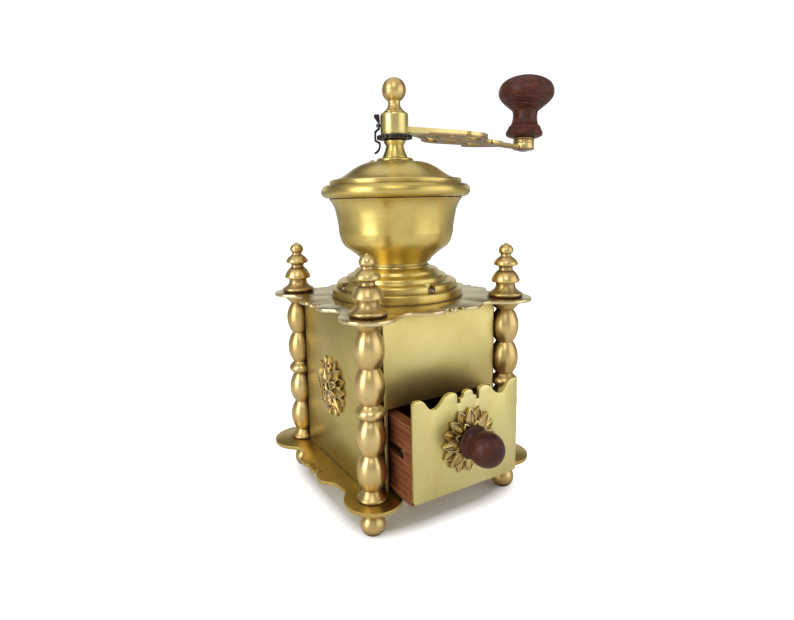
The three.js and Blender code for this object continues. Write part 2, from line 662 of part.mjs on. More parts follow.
function addHopper() {
  const holes = screwPlaces.map(([x, y]) => rod(screwHole, -1, STEPS_HEIGHT, 12).translate(x, y, 0));
  const pockets = screwPlaces.map(([x, y]) =>
    rod(SCREW_HEAD + 0.7, SCREW_FLOOR, STEPS_HEIGHT, 12).translate(x, y, 0));
  const plinth = cut(ring(BURR_FLANGE_RADIUS + SLIDE_GAP, PLINTH_RADIUS, 0, PLINTH_HEIGHT, 36), ...holes);
  add('hopper_plinth', plinth, spunBrass).position.z = plateTop;
  const steps = cut(turned(stepsProfile(), 32, 2), ...holes, ...pockets);
  add('hopper_steps', steps, spunBrass).position.z = plinthTop;
  add('hopper_bowl', turnedPoints(bowlPoints(), 28), spunBrass).position.z = bowlFoot;

  const screw = new THREE.Path();
  const head = SCREW_HEAD;
  screw.moveTo(0, -SCREW_REACH).lineTo(SCREW_SHANK, -SCREW_REACH).lineTo(SCREW_SHANK, 0).lineTo(head, 0);
  screw.lineTo(head, SCREW_HEAD_HEIGHT * 0.6).lineTo(head * 0.7, SCREW_HEAD_HEIGHT);
  screw.lineTo(0, SCREW_HEAD_HEIGHT);
  const screwBody = turned(screw, 12);
  ['right', 'rear', 'left', 'front'].forEach((side, i) => {
    const [x, y] = screwPlaces[i];
    add(`hopper_screw_${side}`, screwBody, steel).position.set(x, y, plinthTop + SCREW_FLOOR);
  });
}

/** Outer line of the domed lid from its edge up to the flat top. */
function domeLine() {
  const path = new THREE.Path();
  path.moveTo(DOME_EDGE, 0.2);
  path.quadraticCurveTo(DOME_EDGE - 4, 1.6, DOME_EDGE - 7.6, DOME_RISE * 0.37);
  path.bezierCurveTo(DOME_EDGE - 13, DOME_RISE * 0.72, DOME_EDGE - 18, DOME_RISE * 0.96,
    DOME_FLAT + 3, DOME_RISE - 0.2);
  path.lineTo(DOME_FLAT - 1, DOME_RISE);
  path.lineTo(GUARD_SHANK + BORE_GAP, DOME_RISE);
  return path;
}

/** A flat pie slice about the spindle axis, from inner to outer radius. */
function slice(inner, outer, middleDegrees, spanDegrees, from, to) {
  const [start, end] = [-0.5, 0.5].map((side) => radians(middleDegrees + side * spanDegrees));
  const outline = new THREE.Shape();
  outline.absarc(0, 0, outer, start, end, false);
  outline.absarc(0, 0, inner, end, start, true);
  return prism(outline, from, to, 16);
}

function addLid() {
  const outer = domeLine().getPoints(3);
  const inner = offsetPoints(outer, DOME_WALL).reverse();
  const point = (x, y) => new THREE.Vector2(x, y);
  const rimFoot = -LID_FLANGE_HEIGHT;
  const dome = turnedPoints([
    point(LID_RADIUS, rimFoot), point(LID_RADIUS, -0.7), point(LID_RADIUS - 0.7, 0), ...outer,
    ...inner, point(DOME_EDGE - 0.6, -DOME_WALL - 0.4), point(LID_RADIUS - LID_LEDGE, -DOME_WALL - 1),
    point(LID_RADIUS - LID_LEDGE, rimFoot), point(LID_RADIUS, rimFoot),
  ], 28);
  const window = slice(WINDOW_INNER, WINDOW_OUTER, HATCH_AZIMUTH, WINDOW_ANGLE, 0, 2 * DOME_RISE);
  add('lid_dome', cut(dome, window), spunBrass).position.z = lidTop;

  const clear = DOME_WALL + SLIDE_GAP;
  const hatchLine = offsetPoints(outer, clear).filter(({ x }) => x < WINDOW_OUTER + 3.5);
  hatchLine[hatchLine.length - 1].x = GUARD_SHANK - 1;
  const eyeBore = rod(GUARD_SHANK + TURN_GAP, -DOME_RISE, DOME_RISE, 16);
  const hatchShell = cut(shell(hatchLine, HATCH_WALL, 28), eyeBore);
  const leaf = slice(1, WINDOW_OUTER + 3, HATCH_AZIMUTH, WINDOW_ANGLE + 2 * HATCH_LAP, -DOME_RISE, DOME_RISE);
  const eye = rod(HATCH_EYE, -DOME_RISE, DOME_RISE, 28);
  const knobAngle = radians(HATCH_AZIMUTH + WINDOW_ANGLE / 2 - 6);
  const knobAt = (WINDOW_INNER + WINDOW_OUTER) / 2;
  const knobFoot = DOME_RISE * 0.8 - clear;
  const knob = rod(HATCH_KNOB_RADIUS, knobFoot - 0.6, knobFoot + HATCH_KNOB_HEIGHT, 12)
    .translate(knobAt * Math.cos(knobAngle), knobAt * Math.sin(knobAngle), 0);
  add('lid_hatch', union(common(hatchShell, union(leaf, eye)), knob), spunBrass).position.z = lidTop;
}

function addGuard() {
  const bore = SPINDLE_RADIUS + TURN_GAP;
  const lip = DOME_WALL + SLIDE_GAP + HATCH_WALL + SLIDE_GAP;
  const path = new THREE.Path();
  path.moveTo(bore, -lip - 1.2).lineTo(HATCH_EYE - 2, -lip - 1.2).lineTo(HATCH_EYE - 2, -lip);
  path.lineTo(GUARD_SHANK, -lip).lineTo(GUARD_SHANK, 0).lineTo(GUARD_FLANGE, 0);
  path.lineTo(GUARD_FLANGE, GUARD_FLANGE_HEIGHT - 0.6).lineTo(GUARD_FLANGE - 0.8, GUARD_FLANGE_HEIGHT);
  path.lineTo(GUARD_BASE, GUARD_FLANGE_HEIGHT).lineTo(GUARD_BASE, GUARD_FLANGE_HEIGHT + 0.9);
  const [foot, rise] = [GUARD_FLANGE_HEIGHT, GUARD_HEIGHT];
  path.quadraticCurveTo(GUARD_NECK + 0.8, foot + rise * 0.36, GUARD_NECK, foot + rise * 0.68);
  path.lineTo(GUARD_COLLAR - 0.2, foot + rise * 0.84).lineTo(GUARD_COLLAR, foot + rise * 0.95);
  path.lineTo(GUARD_COLLAR - 0.5, foot + rise).lineTo(bore, foot + rise).lineTo(bore, -lip - 1.2);
  add('spindle_guard', turned(path, 16, 3), turnedBrass).position.z = domeTop;
}

/** A round outline with teeth, as points about the axis. */
function toothedCircle(Outline, radius, tooth, count) {
  const points = [];
  for (let i = 0; i < count; i += 1) {
    for (const [share, reach] of [[0, radius], [0.35, radius], [0.5, radius + tooth]]) {
      const angle = (i + share) * 2 * Math.PI / count;
      points.push(new THREE.Vector2(reach * Math.cos(angle), reach * Math.sin(angle)));
    }
  }
  return new Outline(points);
}

/** The driven cone: ridges that run round as they widen downwards. */
function innerBurrGeometry() {
  const rows = 6;
  const spokes = INNER_BURR_RIDGES * 4;
  const profile = [new THREE.Vector2(0, 0)];
  for (let row = 0; row <= rows; row += 1) {
    const share = row / rows;
    const radius = THREE.MathUtils.lerp(INNER_BURR_BOTTOM, INNER_BURR_TOP, share ** 1.3);
    profile.push(new THREE.Vector2(radius, share * INNER_BURR_HEIGHT));
  }
  profile.push(new THREE.Vector2(0, INNER_BURR_HEIGHT));
  const cone = new THREE.LatheGeometry(profile, spokes).rotateX(Math.PI / 2);
  const corner = new THREE.Vector3();
  const corners = cone.getAttribute('position');
  for (let i = 0; i < corners.count; i += 1) {
    corner.fromBufferAttribute(corners, i);
    const twist = corner.z / INNER_BURR_HEIGHT * 1.1;
    const phase = (Math.atan2(corner.y, corner.x) + twist) * INNER_BURR_RIDGES;
    const swell = 1 + 0.07 * Math.cos(phase);
    corners.setXYZ(i, corner.x * swell, corner.y * swell, corner.z);
  }
  return cut(cone, rod(SPINDLE_RADIUS + TURN_GAP, -1, INNER_BURR_HEIGHT + 1));
}

/** The strap under the burrs that carries the spindle's lower end. */
function bridgeGeometry() {
  const inner = OUTER_BURR_RADIUS + SLIDE_GAP;
  const outer = inner + BRIDGE_STRAP;
  const foot = outer + BRIDGE_FOOT;
  const drop = BRIDGE_DROP;
  const half = [
    [outer, -drop], [outer, -BRIDGE_STRAP], [foot, -BRIDGE_STRAP], [foot, 0],
    [inner, 0], [inner, -drop + BRIDGE_THICKNESS],
  ];
  const mirrored = half.map(([x, z]) => [-x, z]).reverse();
  const outline = new THREE.Shape([...half, ...mirrored].map(([x, z]) => new THREE.Vector2(x, z)));
  const strap = prism(outline, -BRIDGE_WIDTH / 2, BRIDGE_WIDTH / 2).rotateX(Math.PI / 2);
  const screwHoles = [-1, 1].map((side) => rod(screwHole, -4, 1, 12).translate(side * bridgeScrewAt, 0, 0));
  return cut(strap, rod(SPINDLE_RADIUS + TURN_GAP, -drop - 1, -drop + BRIDGE_THICKNESS + 1), ...screwHoles);
}

/** A compression spring about the spindle. */
function springGeometry() {
  class Helix extends THREE.Curve {
    getPoint(share, target = new THREE.Vector3()) {
      const angle = share * SPRING_TURNS * 2 * Math.PI;
      const rise = SPRING_WIRE + share * (springHeight - 2 * SPRING_WIRE);
      return target.set(SPRING_RADIUS * Math.cos(angle), SPRING_RADIUS * Math.sin(angle), rise);
    }
  }
  const section = new THREE.Shape().absarc(0, 0, SPRING_WIRE, 0, 2 * Math.PI);
  const extrudePath = new Helix();
  return new THREE.ExtrudeGeometry(section, { steps: SPRING_TURNS * 10, curveSegments: 3, extrudePath });
}

function addBurrs() {
  const mantle = new THREE.Shape().absarc(0, 0, OUTER_BURR_RADIUS, 0, 2 * Math.PI);
  mantle.holes.push(toothedCircle(THREE.Path, BURR_BORE, BURR_TOOTH, OUTER_BURR_TEETH));
  const flange = ring(THROAT_RADIUS, BURR_FLANGE_RADIUS, 0, PLINTH_HEIGHT, 32);
  const body = prism(mantle, -BURR_DEPTH, 1, 16);
  add('outer_burr', union(body, flange), castIron).position.z = plateTop;
  add('inner_burr', innerBurrGeometry(), castIron).position.z = innerBurrFoot;
  add('lower_bridge', bridgeGeometry(), steel).position.z = caseTop;
  add('burr_spring', springGeometry(), steel).position.z = bridgeTop + SLIDE_GAP;
  const screw = union(rod(SCREW_HEAD, -1.6, 0, 12), rod(SCREW_SHANK, -0.1, 3.2, 12));
  for (const [name, side] of [['bridge_screw_left', -1], ['bridge_screw_right', 1]]) {
    add(name, screw, steel).position.set(side * bridgeScrewAt, 0, caseTop - BRIDGE_STRAP);
  }
}

function addSpindle() {
  const path = new THREE.Path();
  const foot = bridgeFoot - 1;
  const shoulder = hubTop;
  path.moveTo(0, foot).lineTo(SPINDLE_RADIUS, foot).lineTo(SPINDLE_RADIUS, shoulder);
  path.lineTo(SPINDLE_THREAD, shoulder).lineTo(SPINDLE_THREAD, shoulder + 12).lineTo(0, shoulder + 12);
  add('spindle', turned(path, 24), steel);
}

function addGrindNut() {
  const step = 2 * Math.PI / GRIND_NUT_NOTCHES;
  const points = [];
  for (let notch = 0; notch < GRIND_NUT_NOTCHES; notch += 1) {
    const places = [[0.04, GRIND_NUT_ROOT], [0.3, GRIND_NUT_ROOT], [0.38, GRIND_NUT_RADIUS],
      [0.67, GRIND_NUT_RADIUS], [0.96, GRIND_NUT_RADIUS]];
    for (const [share, radius] of places) {
      const angle = (notch + share) * step;
      points.push(new THREE.Vector2(radius * Math.cos(angle), radius * Math.sin(angle)));
    }
  }
  const crown = prism(new THREE.Shape(points), 0, GRIND_NUT_HEIGHT);
  const nut = cut(crown, rod(SPINDLE_RADIUS + TURN_GAP, -1, GRIND_NUT_HEIGHT + 1));
  add('grind_nut', nut, blackSteel).position.z = nutFoot;
}

/** The crank turns about the spindle; its own frame has the arm along +X. */
const crank = new THREE.Group();
crank.rotation.z = radians(CRANK_AZIMUTH);
crank.position.z = hubFoot;
grinder.add(crank);

/** The drooping frame of the arm and knob, inside the crank. */
const armFrame = new THREE.Group();
armFrame.rotation.y = radians(ARM_DROOP);
armFrame.position.z = ARM_RISE;
crank.add(armFrame);

/** The pierced arm in plan, from inside the hub to the start of the stem. */
function armOutline() {
  const arm = new THREE.Shape();
  arm.moveTo(4, -ARM_ROOT + 1).lineTo(8, -ARM_ROOT).lineTo(44, -20.6).lineTo(45.2, -19.6);
  arm.bezierCurveTo(48, -23.2, 58, -23.6, 65, -19.6);
  arm.bezierCurveTo(70, -16, 69, -9, 75, -6.6);
  arm.lineTo(84, -5.6).lineTo(84, -7).lineTo(95, -6.4).lineTo(98, -ARM_STEM).lineTo(101, ARM_STEM);
  arm.bezierCurveTo(97, 8, 91, 17, 84, 21.2);
  arm.quadraticCurveTo(80.6, 23, 79.6, 20.6);
  arm.lineTo(78.6, 15.6);
  arm.bezierCurveTo(70, 14.6, 66, 19.6, 57, 22);
  arm.bezierCurveTo(50, 25.6, 42, 24.4, 37, 17.6);
  arm.bezierCurveTo(31, 9.6, 20, 7, 8, ARM_ROOT).lineTo(4, ARM_ROOT - 1);
  const windows = [
    [[20, -5.2], [41, -15.2], [39, -9.4], [27, -4.2]],
    [[48, -18], [62, -17.4], [67, -9.6], [50, -7.6]],
    [[22, 4.2], [34, 9.2], [42, 18.6], [52, 19], [48, 12.4], [30, 2.4]],
    [[31, -2.2], [44, -5.4], [62, -4], [57, 2], [40, 2.2]],
    [[53, 9], [60, 5.6], [64, 13.4], [58, 16.6]],
    [[68, 10.4], [76, 11], [82, 16.4], [92, 7.6], [80, 3.4], [68, 4.6]],
    [[67, -4.6], [78, -2.6], [76, 0.2], [65, 1.2]],
  ];
  for (const corners of windows) arm.holes.push(roundedLoop(THREE.Path, corners, 1.8));
  return arm;
}

/** Puts a geometry from the arm's frame into the crank's frame. */
function fromArmFrame(geometry) {
  armFrame.updateMatrix();
  return geometry.applyMatrix4(armFrame.matrix);
}

/** Puts an upright piece on the latch's rivet line, pointing away from the spindle. */
function alongLatch(geometry) {
  return geometry.rotateY(Math.PI / 2).translate(0, 0, LATCH_PIVOT_HEIGHT).rotateZ(radians(LATCH_AZIMUTH));
}

function addCrankArm() {
  const pinHole = KNOB_PIN_RADIUS + TURN_GAP;
  const above = block([0, -40, 0], [CRANK_RADIUS, 40, 8]).rotateY(radians(ARM_TAPER)).translate(0, 0, ARM_THICKNESS);
  const plate = fromArmFrame(cut(prism(armOutline(), 0, ARM_THICKNESS + 1, 3), above));
  const stem = fromArmFrame(block([94, -ARM_STEM, 0], [CRANK_RADIUS - 4, ARM_STEM, ARM_STEM_THICKNESS]));
  const boss = fromArmFrame(rod(BOSS_RADIUS, 0, BOSS_HEIGHT, 20).translate(CRANK_RADIUS, 0, 0));
  const pinBore = fromArmFrame(rod(pinHole, -2, BOSS_HEIGHT + 2, 20).translate(CRANK_RADIUS, 0, 0));
  const hub = new THREE.Path();
  hub.moveTo(0, 0).lineTo(HUB_RADIUS, 0).lineTo(HUB_RADIUS, HUB_HEIGHT - 1.6);
  hub.quadraticCurveTo(HUB_RADIUS, HUB_HEIGHT, HUB_RADIUS - 1.6, HUB_HEIGHT).lineTo(0, HUB_HEIGHT);
  const bore = rod(SPINDLE_RADIUS + TURN_GAP, -1, HUB_HEIGHT + 1, 24);
  const rivetHole = alongLatch(rod(LATCH_PIN_RADIUS + TURN_GAP, HUB_RADIUS - 3, HUB_RADIUS + 2, 12));
  const casting = union(plate, stem, boss, turned(hub, 24, 3));
  add('crank_arm', cut(casting, bore, pinBore, rivetHole), sheetBrass, crank);
}

function ballNutProfile() {
  const ballCentre = BALL_NUT_HEIGHT - BALL_RADIUS;
  const bore = SPINDLE_THREAD + TURN_GAP;
  const path = new THREE.Path();
  path.moveTo(bore, 0).lineTo(BALL_NUT_FLARE, 0).lineTo(BALL_NUT_FLARE, 0.8);
  path.quadraticCurveTo(BALL_NUT_NECK + 0.6, 2.2, BALL_NUT_NECK, 5);
  path.lineTo(BALL_NUT_NECK, ballCentre - Math.sqrt(BALL_RADIUS ** 2 - BALL_NUT_NECK ** 2));
  path.absarc(0, ballCentre, BALL_RADIUS, -Math.acos(BALL_NUT_NECK / BALL_RADIUS), Math.PI / 2);
  path.lineTo(0, 12 + SLIDE_GAP).lineTo(bore, 12 + SLIDE_GAP).lineTo(bore, 0);
  return path;
}

/** Side view of the latch: radius from the spindle against height above the hub's foot. */
function latchOutline() {
  const hubEdge = HUB_RADIUS + SLIDE_GAP;
  const nutEdge = GRIND_NUT_RADIUS + SLIDE_GAP;
  const tail = GUARD_COLLAR + 1.9;
  const below = -GRIND_NUT_HEIGHT - SLIDE_GAP;
  const latch = new THREE.Shape();
  latch.moveTo(hubEdge + 0.4, HUB_HEIGHT - 0.7).lineTo(hubEdge, HUB_HEIGHT - 4);
  latch.lineTo(hubEdge, 2.6).lineTo(nutEdge, 0.4).lineTo(nutEdge, below - 0.4).lineTo(tail, below - 1.8);
  latch.quadraticCurveTo(tail - 0.6, below - 7.4, tail + 3.8, below - 9.2);
  latch.lineTo(tail + 4.4, below - 8.2);
  latch.quadraticCurveTo(tail + 0.8, below - 6.4, tail + LATCH_WALL, below - 2.6);
  latch.lineTo(nutEdge + LATCH_WALL, below - 0.9).lineTo(nutEdge + LATCH_WALL, 1);
  latch.lineTo(hubEdge + LATCH_WALL, 3.1).lineTo(hubEdge + LATCH_WALL, LATCH_PIVOT_HEIGHT + 1.7);
  latch.lineTo(hubEdge + 3.6, HUB_HEIGHT - 2.6);
  latch.quadraticCurveTo(hubEdge + 4.4, HUB_HEIGHT - 0.8, hubEdge + 3, HUB_HEIGHT - 0.7);
  return latch;
}

function addLatch() {
  const side = prism(latchOutline(), -LATCH_WIDTH / 2, LATCH_WIDTH / 2, 4);
  const hole = alongLatch(rod(LATCH_PIN_RADIUS + 0.3, HUB_RADIUS - 1, HUB_RADIUS + 4, 12));
  const strip = side.rotateX(Math.PI / 2).rotateZ(radians(LATCH_AZIMUTH));
  add('latch', cut(strip, hole), blackSteel, crank);
  const headAt = HUB_RADIUS + SLIDE_GAP + LATCH_WALL + 0.4;
  const rivet = new THREE.Path();
  rivet.moveTo(0, HUB_RADIUS - 2.6).lineTo(LATCH_PIN_RADIUS, HUB_RADIUS - 2.6);
  rivet.lineTo(LATCH_PIN_RADIUS, headAt).lineTo(LATCH_PIN_HEAD, headAt);
  rivet.lineTo(LATCH_PIN_HEAD * 0.7, headAt + 0.8).lineTo(0, headAt + 0.8);
  add('latch_pin', alongLatch(turned(rivet, 12)), blackSteel, crank);
}

function knobProfile() {
  const bore = KNOB_PIN_RADIUS + TURN_GAP;
  const path = new THREE.Path();
  path.moveTo(bore, 0).lineTo(KNOB_FLANGE - 3.4, 0).lineTo(KNOB_FLANGE - 0.8, 1.2);
  path.quadraticCurveTo(KNOB_FLANGE + 0.6, 3.4, KNOB_FLANGE - 1, 5.4);
  path.lineTo(KNOB_FLANGE - 1.8, 7).lineTo(KNOB_FLANGE - 2.2, 8.2).lineTo(KNOB_NECK + 1.4, 9.4);
  path.bezierCurveTo(KNOB_NECK, 13, KNOB_NECK - 0.4, 17.4, KNOB_NECK + 1, 20.4);
  path.quadraticCurveTo(KNOB_NECK + 5.4, 23.6, KNOB_HEAD - 3.2, 27.2);
  path.bezierCurveTo(KNOB_HEAD + 0.6, 31, KNOB_HEAD + 0.6, 36, KNOB_HEAD - 3, 40.4);
  path.quadraticCurveTo(KNOB_HEAD - 9, KNOB_HEIGHT - 0.6, 0, KNOB_HEIGHT);
  path.lineTo(0, KNOB_PIN_IN_KNOB + SLIDE_GAP).lineTo(bore, KNOB_PIN_IN_KNOB + SLIDE_GAP).lineTo(bore, 0);
  return path;
}

function addKnob() {
  const ferruleFoot = BOSS_HEIGHT + 0.1;
  const knobFoot = ferruleFoot + FERRULE_HEIGHT + SLIDE_GAP;
  const inner = KNOB_PIN_RADIUS + TURN_GAP;
  const ferrule = new THREE.Path();
  ferrule.moveTo(inner, 0).lineTo(FERRULE_RADIUS, 0).lineTo(FERRULE_RADIUS, 2.4);
  ferrule.lineTo(FERRULE_RADIUS - 0.5, 2.8).lineTo(FERRULE_RADIUS, 3.2);
  ferrule.lineTo(FERRULE_RADIUS, FERRULE_HEIGHT).lineTo(inner, FERRULE_HEIGHT).lineTo(inner, 0);
  const pin = new THREE.Path();
  const headFoot = -KNOB_PIN_HEAD_HEIGHT - 0.1;
  pin.moveTo(0, headFoot).lineTo(KNOB_PIN_HEAD * 0.7, headFoot).lineTo(KNOB_PIN_HEAD, -0.5);
  pin.lineTo(KNOB_PIN_HEAD, -0.1).lineTo(KNOB_PIN_RADIUS, -0.1);
  pin.lineTo(KNOB_PIN_RADIUS, knobFoot + KNOB_PIN_IN_KNOB).lineTo(0, knobFoot + KNOB_PIN_IN_KNOB);
  const place = (mesh, height) => mesh.position.set(CRANK_RADIUS, 0, height);
  place(add('knob_ferrule', turned(ferrule, 20), turnedBrass, armFrame), ferruleFoot);
  place(add('knob_pin', turned(pin, 20), steel, armFrame), 0);
  place(add('crank_knob', turned(knobProfile(), 20, 3), darkWood, armFrame), knobFoot);
}

/** The brass drawer front: plain sides and the shared motif along its top. */
function drawerFrontOutline() {
  const half = motifHalf(1, 1, SLIT_DEPTH);
  half.bezierCurveTo(VALLEY_AT + 4.5, -VALLEY_DEPTH, FRONT_CORNER_AT - 3.5, 0, FRONT_CORNER_AT, 0);
  half.lineTo(FRONT_HALF_WIDTH - 1.2, 0).lineTo(FRONT_HALF_WIDTH, -1.2);
  const right = half.getPoints(4);
  const left = right.map(({ x, y }) => new THREE.Vector2(-x, y)).slice(1);
  const top = [...right.reverse(), ...left].map(({ x, y }) => new THREE.Vector2(x, y + FRONT_HEIGHT));
  const point = (x, y) => new THREE.Vector2(x, y);
  const [w, r] = [FRONT_HALF_WIDTH, FRONT_CORNER_ROUND];
  return new THREE.Shape([...top, point(-w, r), point(-w + r * 0.3, r * 0.3), point(-w + r, 0),
    point(w - r, 0), point(w - r * 0.3, r * 0.3), point(w, r)]);
}

function addDrawer() {
  const drawer = new THREE.Group();
  drawer.position.y = frontBack;
  grinder.add(drawer);
  const knobHole = DRAWER_KNOB_SPIGOT + BORE_GAP;
  const faceOutline = drawerFrontOutline();
  faceOutline.holes.push(roundHole(0, FRONT_HEIGHT / 2, knobHole, 16));
  const face = prism(faceOutline, 0, FRONT_THICKNESS).rotateX(Math.PI / 2);
  add('drawer_front', face, sheetBrass, drawer).position.z = frontFoot;

  const [width, side, top] = [BOX_HALF_WIDTH, SIDE_THICKNESS, sideFoot + SIDE_HEIGHT];
  const grooveMiddle = boxFoot + GROOVE_LIFT;
  const board = block([-width, 0, sideFoot], [-width + side, BOX_DEPTH, top]);
  const groove = block([-width - 1, GROOVE_STOP, grooveMiddle - GROOVE_HEIGHT / 2],
    [-width + GROOVE_DEPTH, BOX_DEPTH + 1, grooveMiddle + GROOVE_HEIGHT / 2]);
  const leftBoard = cut(board, groove);
  add('drawer_left_side', leftBoard, drawerWood, drawer);
  add('drawer_right_side', closed(leftBoard.clone().scale(-1, 1, 1)), drawerWood, drawer);
  const inside = width - side;
  const frontBoard = block([-inside, 0, sideFoot], [inside, BOARD_THICKNESS, top]);
  const knobBore = rod(knobHole, -1, BOARD_THICKNESS + 1, 16).rotateX(-Math.PI / 2).translate(0, 0, frontMiddle);
  add('drawer_front_board', cut(frontBoard, knobBore), drawerWood, drawer);
  add('drawer_back_board',
    block([-inside, BOX_DEPTH - BOARD_THICKNESS, sideFoot], [inside, BOX_DEPTH, top]), drawerWood, drawer);
  add('drawer_floor', block([-width - FLOOR_LIP, 0, boxFoot], [width + FLOOR_LIP, BOX_DEPTH, sideFoot]),
    drawerWood, drawer);

  const trim = rosette(knobHole).rotateX(Math.PI / 2);
  add('drawer_rosette', trim, castBrass, drawer).position.set(0, -FRONT_THICKNESS, frontMiddle);
  add('drawer_knob', drawerKnobGeometry(), darkWood, drawer).position.set(0, -FRONT_THICKNESS, frontMiddle);

  const runnerHalf = GROOVE_HEIGHT / 2 - SLIDE_GAP;
  const panelInside = PANEL_FACE - PANEL_WALL;
  const reach = BOX_HALF_WIDTH - GROOVE_DEPTH + SLIDE_GAP;
  const runner = block([-panelInside, -RUNNER_FRONT, grooveMiddle - runnerHalf],
    [-reach, -RUNNER_FRONT + RUNNER_LENGTH, grooveMiddle + runnerHalf]);
  add('drawer_runner_left', runner, darkWood);
  add('drawer_runner_right', closed(runner.clone().scale(-1, 1, 1)), darkWood);
}

/** The drawer knob points along -Y, with its spigot through the rosette, front and board. */
function drawerKnobGeometry() {
  const foot = 3 * ROSETTE_LAYER + SLIDE_GAP;
  const [head, collar] = [DRAWER_KNOB_HEAD, DRAWER_KNOB_COLLAR];
  const path = new THREE.Path();
  path.moveTo(0, -FRONT_THICKNESS - BOARD_THICKNESS + 1);
  path.lineTo(DRAWER_KNOB_SPIGOT, -FRONT_THICKNESS - BOARD_THICKNESS + 1).lineTo(DRAWER_KNOB_SPIGOT, foot);
  path.lineTo(collar - 1, foot).quadraticCurveTo(collar + 0.8, foot + 1.2, collar - 0.6, foot + 2.4);
  path.lineTo(collar - 1.6, foot + 3).lineTo(collar - 0.9, foot + 4.2).lineTo(collar - 2.4, foot + 5.4);
  path.bezierCurveTo(head + 0.6, foot + 7.6, head + 1.6, DRAWER_KNOB_REACH - 5.6, 6.2, DRAWER_KNOB_REACH - 1.7);
  path.quadraticCurveTo(3.4, DRAWER_KNOB_REACH, 0, DRAWER_KNOB_REACH);
  return turned(path, 16, 3).rotateX(Math.PI / 2);
}

addPlates();
addPanels();
addColumns();
addSideRosettes();
addHopper();
addLid();
addGuard();
addBurrs();
addSpindle();
addGrindNut();
addCrankArm();
add('ball_nut', turned(ballNutProfile(), 16, 4), turnedBrass, crank).position.z = HUB_HEIGHT;
addLatch();
addKnob();
addDrawer();

export default grinder;
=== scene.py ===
"""Looks of a brass table coffee grinder with a drawer, a spun hopper and a pierced crank.

Each sub-assembly is a class that holds its sizes in millimetres, builds its pieces on the
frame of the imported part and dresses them. The pieces are written to the scene in metres.
"""

import logging
import math
from dataclasses import dataclass, field
from enum import Enum, IntEnum
from functools import cached_property
from typing import Callable, Iterable, Sequence

import bmesh
import bpy
from mathutils import Matrix, Vector
from mathutils.geometry import interpolate_bezier


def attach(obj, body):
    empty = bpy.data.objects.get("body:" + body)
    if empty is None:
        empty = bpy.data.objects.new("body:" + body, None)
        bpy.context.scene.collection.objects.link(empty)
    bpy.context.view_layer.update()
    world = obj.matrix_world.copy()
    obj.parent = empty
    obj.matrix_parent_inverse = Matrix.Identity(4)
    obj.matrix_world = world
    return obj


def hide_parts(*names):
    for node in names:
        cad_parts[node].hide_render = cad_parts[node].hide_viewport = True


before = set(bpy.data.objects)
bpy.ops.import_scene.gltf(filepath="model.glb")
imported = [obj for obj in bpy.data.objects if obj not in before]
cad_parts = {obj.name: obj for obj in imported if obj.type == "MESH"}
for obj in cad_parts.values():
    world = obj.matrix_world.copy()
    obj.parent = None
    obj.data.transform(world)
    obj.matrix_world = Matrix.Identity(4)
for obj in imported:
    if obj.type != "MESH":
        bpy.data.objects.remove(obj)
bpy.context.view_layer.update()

log = logging.getLogger("coffee_grinder")

MILLIMETRE = 0.001
TINY = 1e-6
TOUCHING = 1e-5
WELDED = 1e-4
CORNER_TURN = 24
EDGE_TURN = 35
RIM_TURN = 60
CREASE = 32
CAST_CREASE = 28
QUARTER = math.pi / 2
Colour = tuple[float, float, float, float]
Pair = tuple[float, float]
Triple = tuple[float, float, float]
Vert, Face = bmesh.types.BMVert, bmesh.types.BMFace
Node, Socket = bpy.types.Node, bpy.types.NodeSocket
Source = Socket | float | Sequence[float]


class Body(Enum):
    """The bodies of the part that a piece can ride on."""

    CASE = "case"
    CRANK = "crank"
    KNOB = "crank_knob_body"
    NUT = "grind_nut_body"
    LATCH = "latch_body"
    HATCH = "hatch"
    DRAWER = "drawer"


class Slot(Enum):
    """The material slots of the part's record, passed with each new piece but not used."""

    SHEET = "sheet_brass"
    TURNED = "turned_brass"
    SPUN = "spun_brass"
    CAST = "cast_brass"
    KNOB_WOOD = "dark_wood"
    DRAWER_WOOD = "drawer_wood"
    STEEL = "steel"
    BLACK_STEEL = "black_steel"


class Grain(Enum):
    """How a pattern is stretched: the three scales of its fine lines along x, y and z."""

    ALONG_X = (0.05, 1.0, 1.0)
    ALONG_Z = (1.0, 1.0, 0.05)
    ROUND_Z = (0.06, 0.06, 1.0)
    EVEN = (1.0, 1.0, 1.0)


class Facets(IntEnum):
    """How many facets go round turned pieces of different sizes."""

    NAIL = 20
    RIVET = 24
    BOLT = 28
    SCREW = 32
    CASTING = 48
    COLUMN = 56
    MIDDLING = 64
    DRAWER_KNOB = 72
    CRANK_KNOB = 96
    HOPPER = 128
    CUT_THROUGH = 180


@dataclass(frozen=True)
class Stack:
    """Heights above the base plate's underside, and how far the columns stand from both middle planes."""

    base_top: float = 2.2
    case_top: float = 106.7
    plate_top: float = 108.6
    plinth_top: float = 114.3
    bowl_foot: float = 131.1
    lid_top: float = 183.6
    dome_top: float = 194.9
    nut_foot: float = 208.8
    hub_foot: float = 212.8
    pitch: float = 50.0


STACK = Stack()
CORNERS = {"front_left": (-1, -1), "front_right": (1, -1), "rear_right": (1, 1), "rear_left": (-1, 1)}


# Templates and workpieces


def verts_of(result: dict) -> list[Vert]:
    """The vertices among what a mesh operator gave back."""
    return [item for item in result["geom"] if isinstance(item, Vert)]


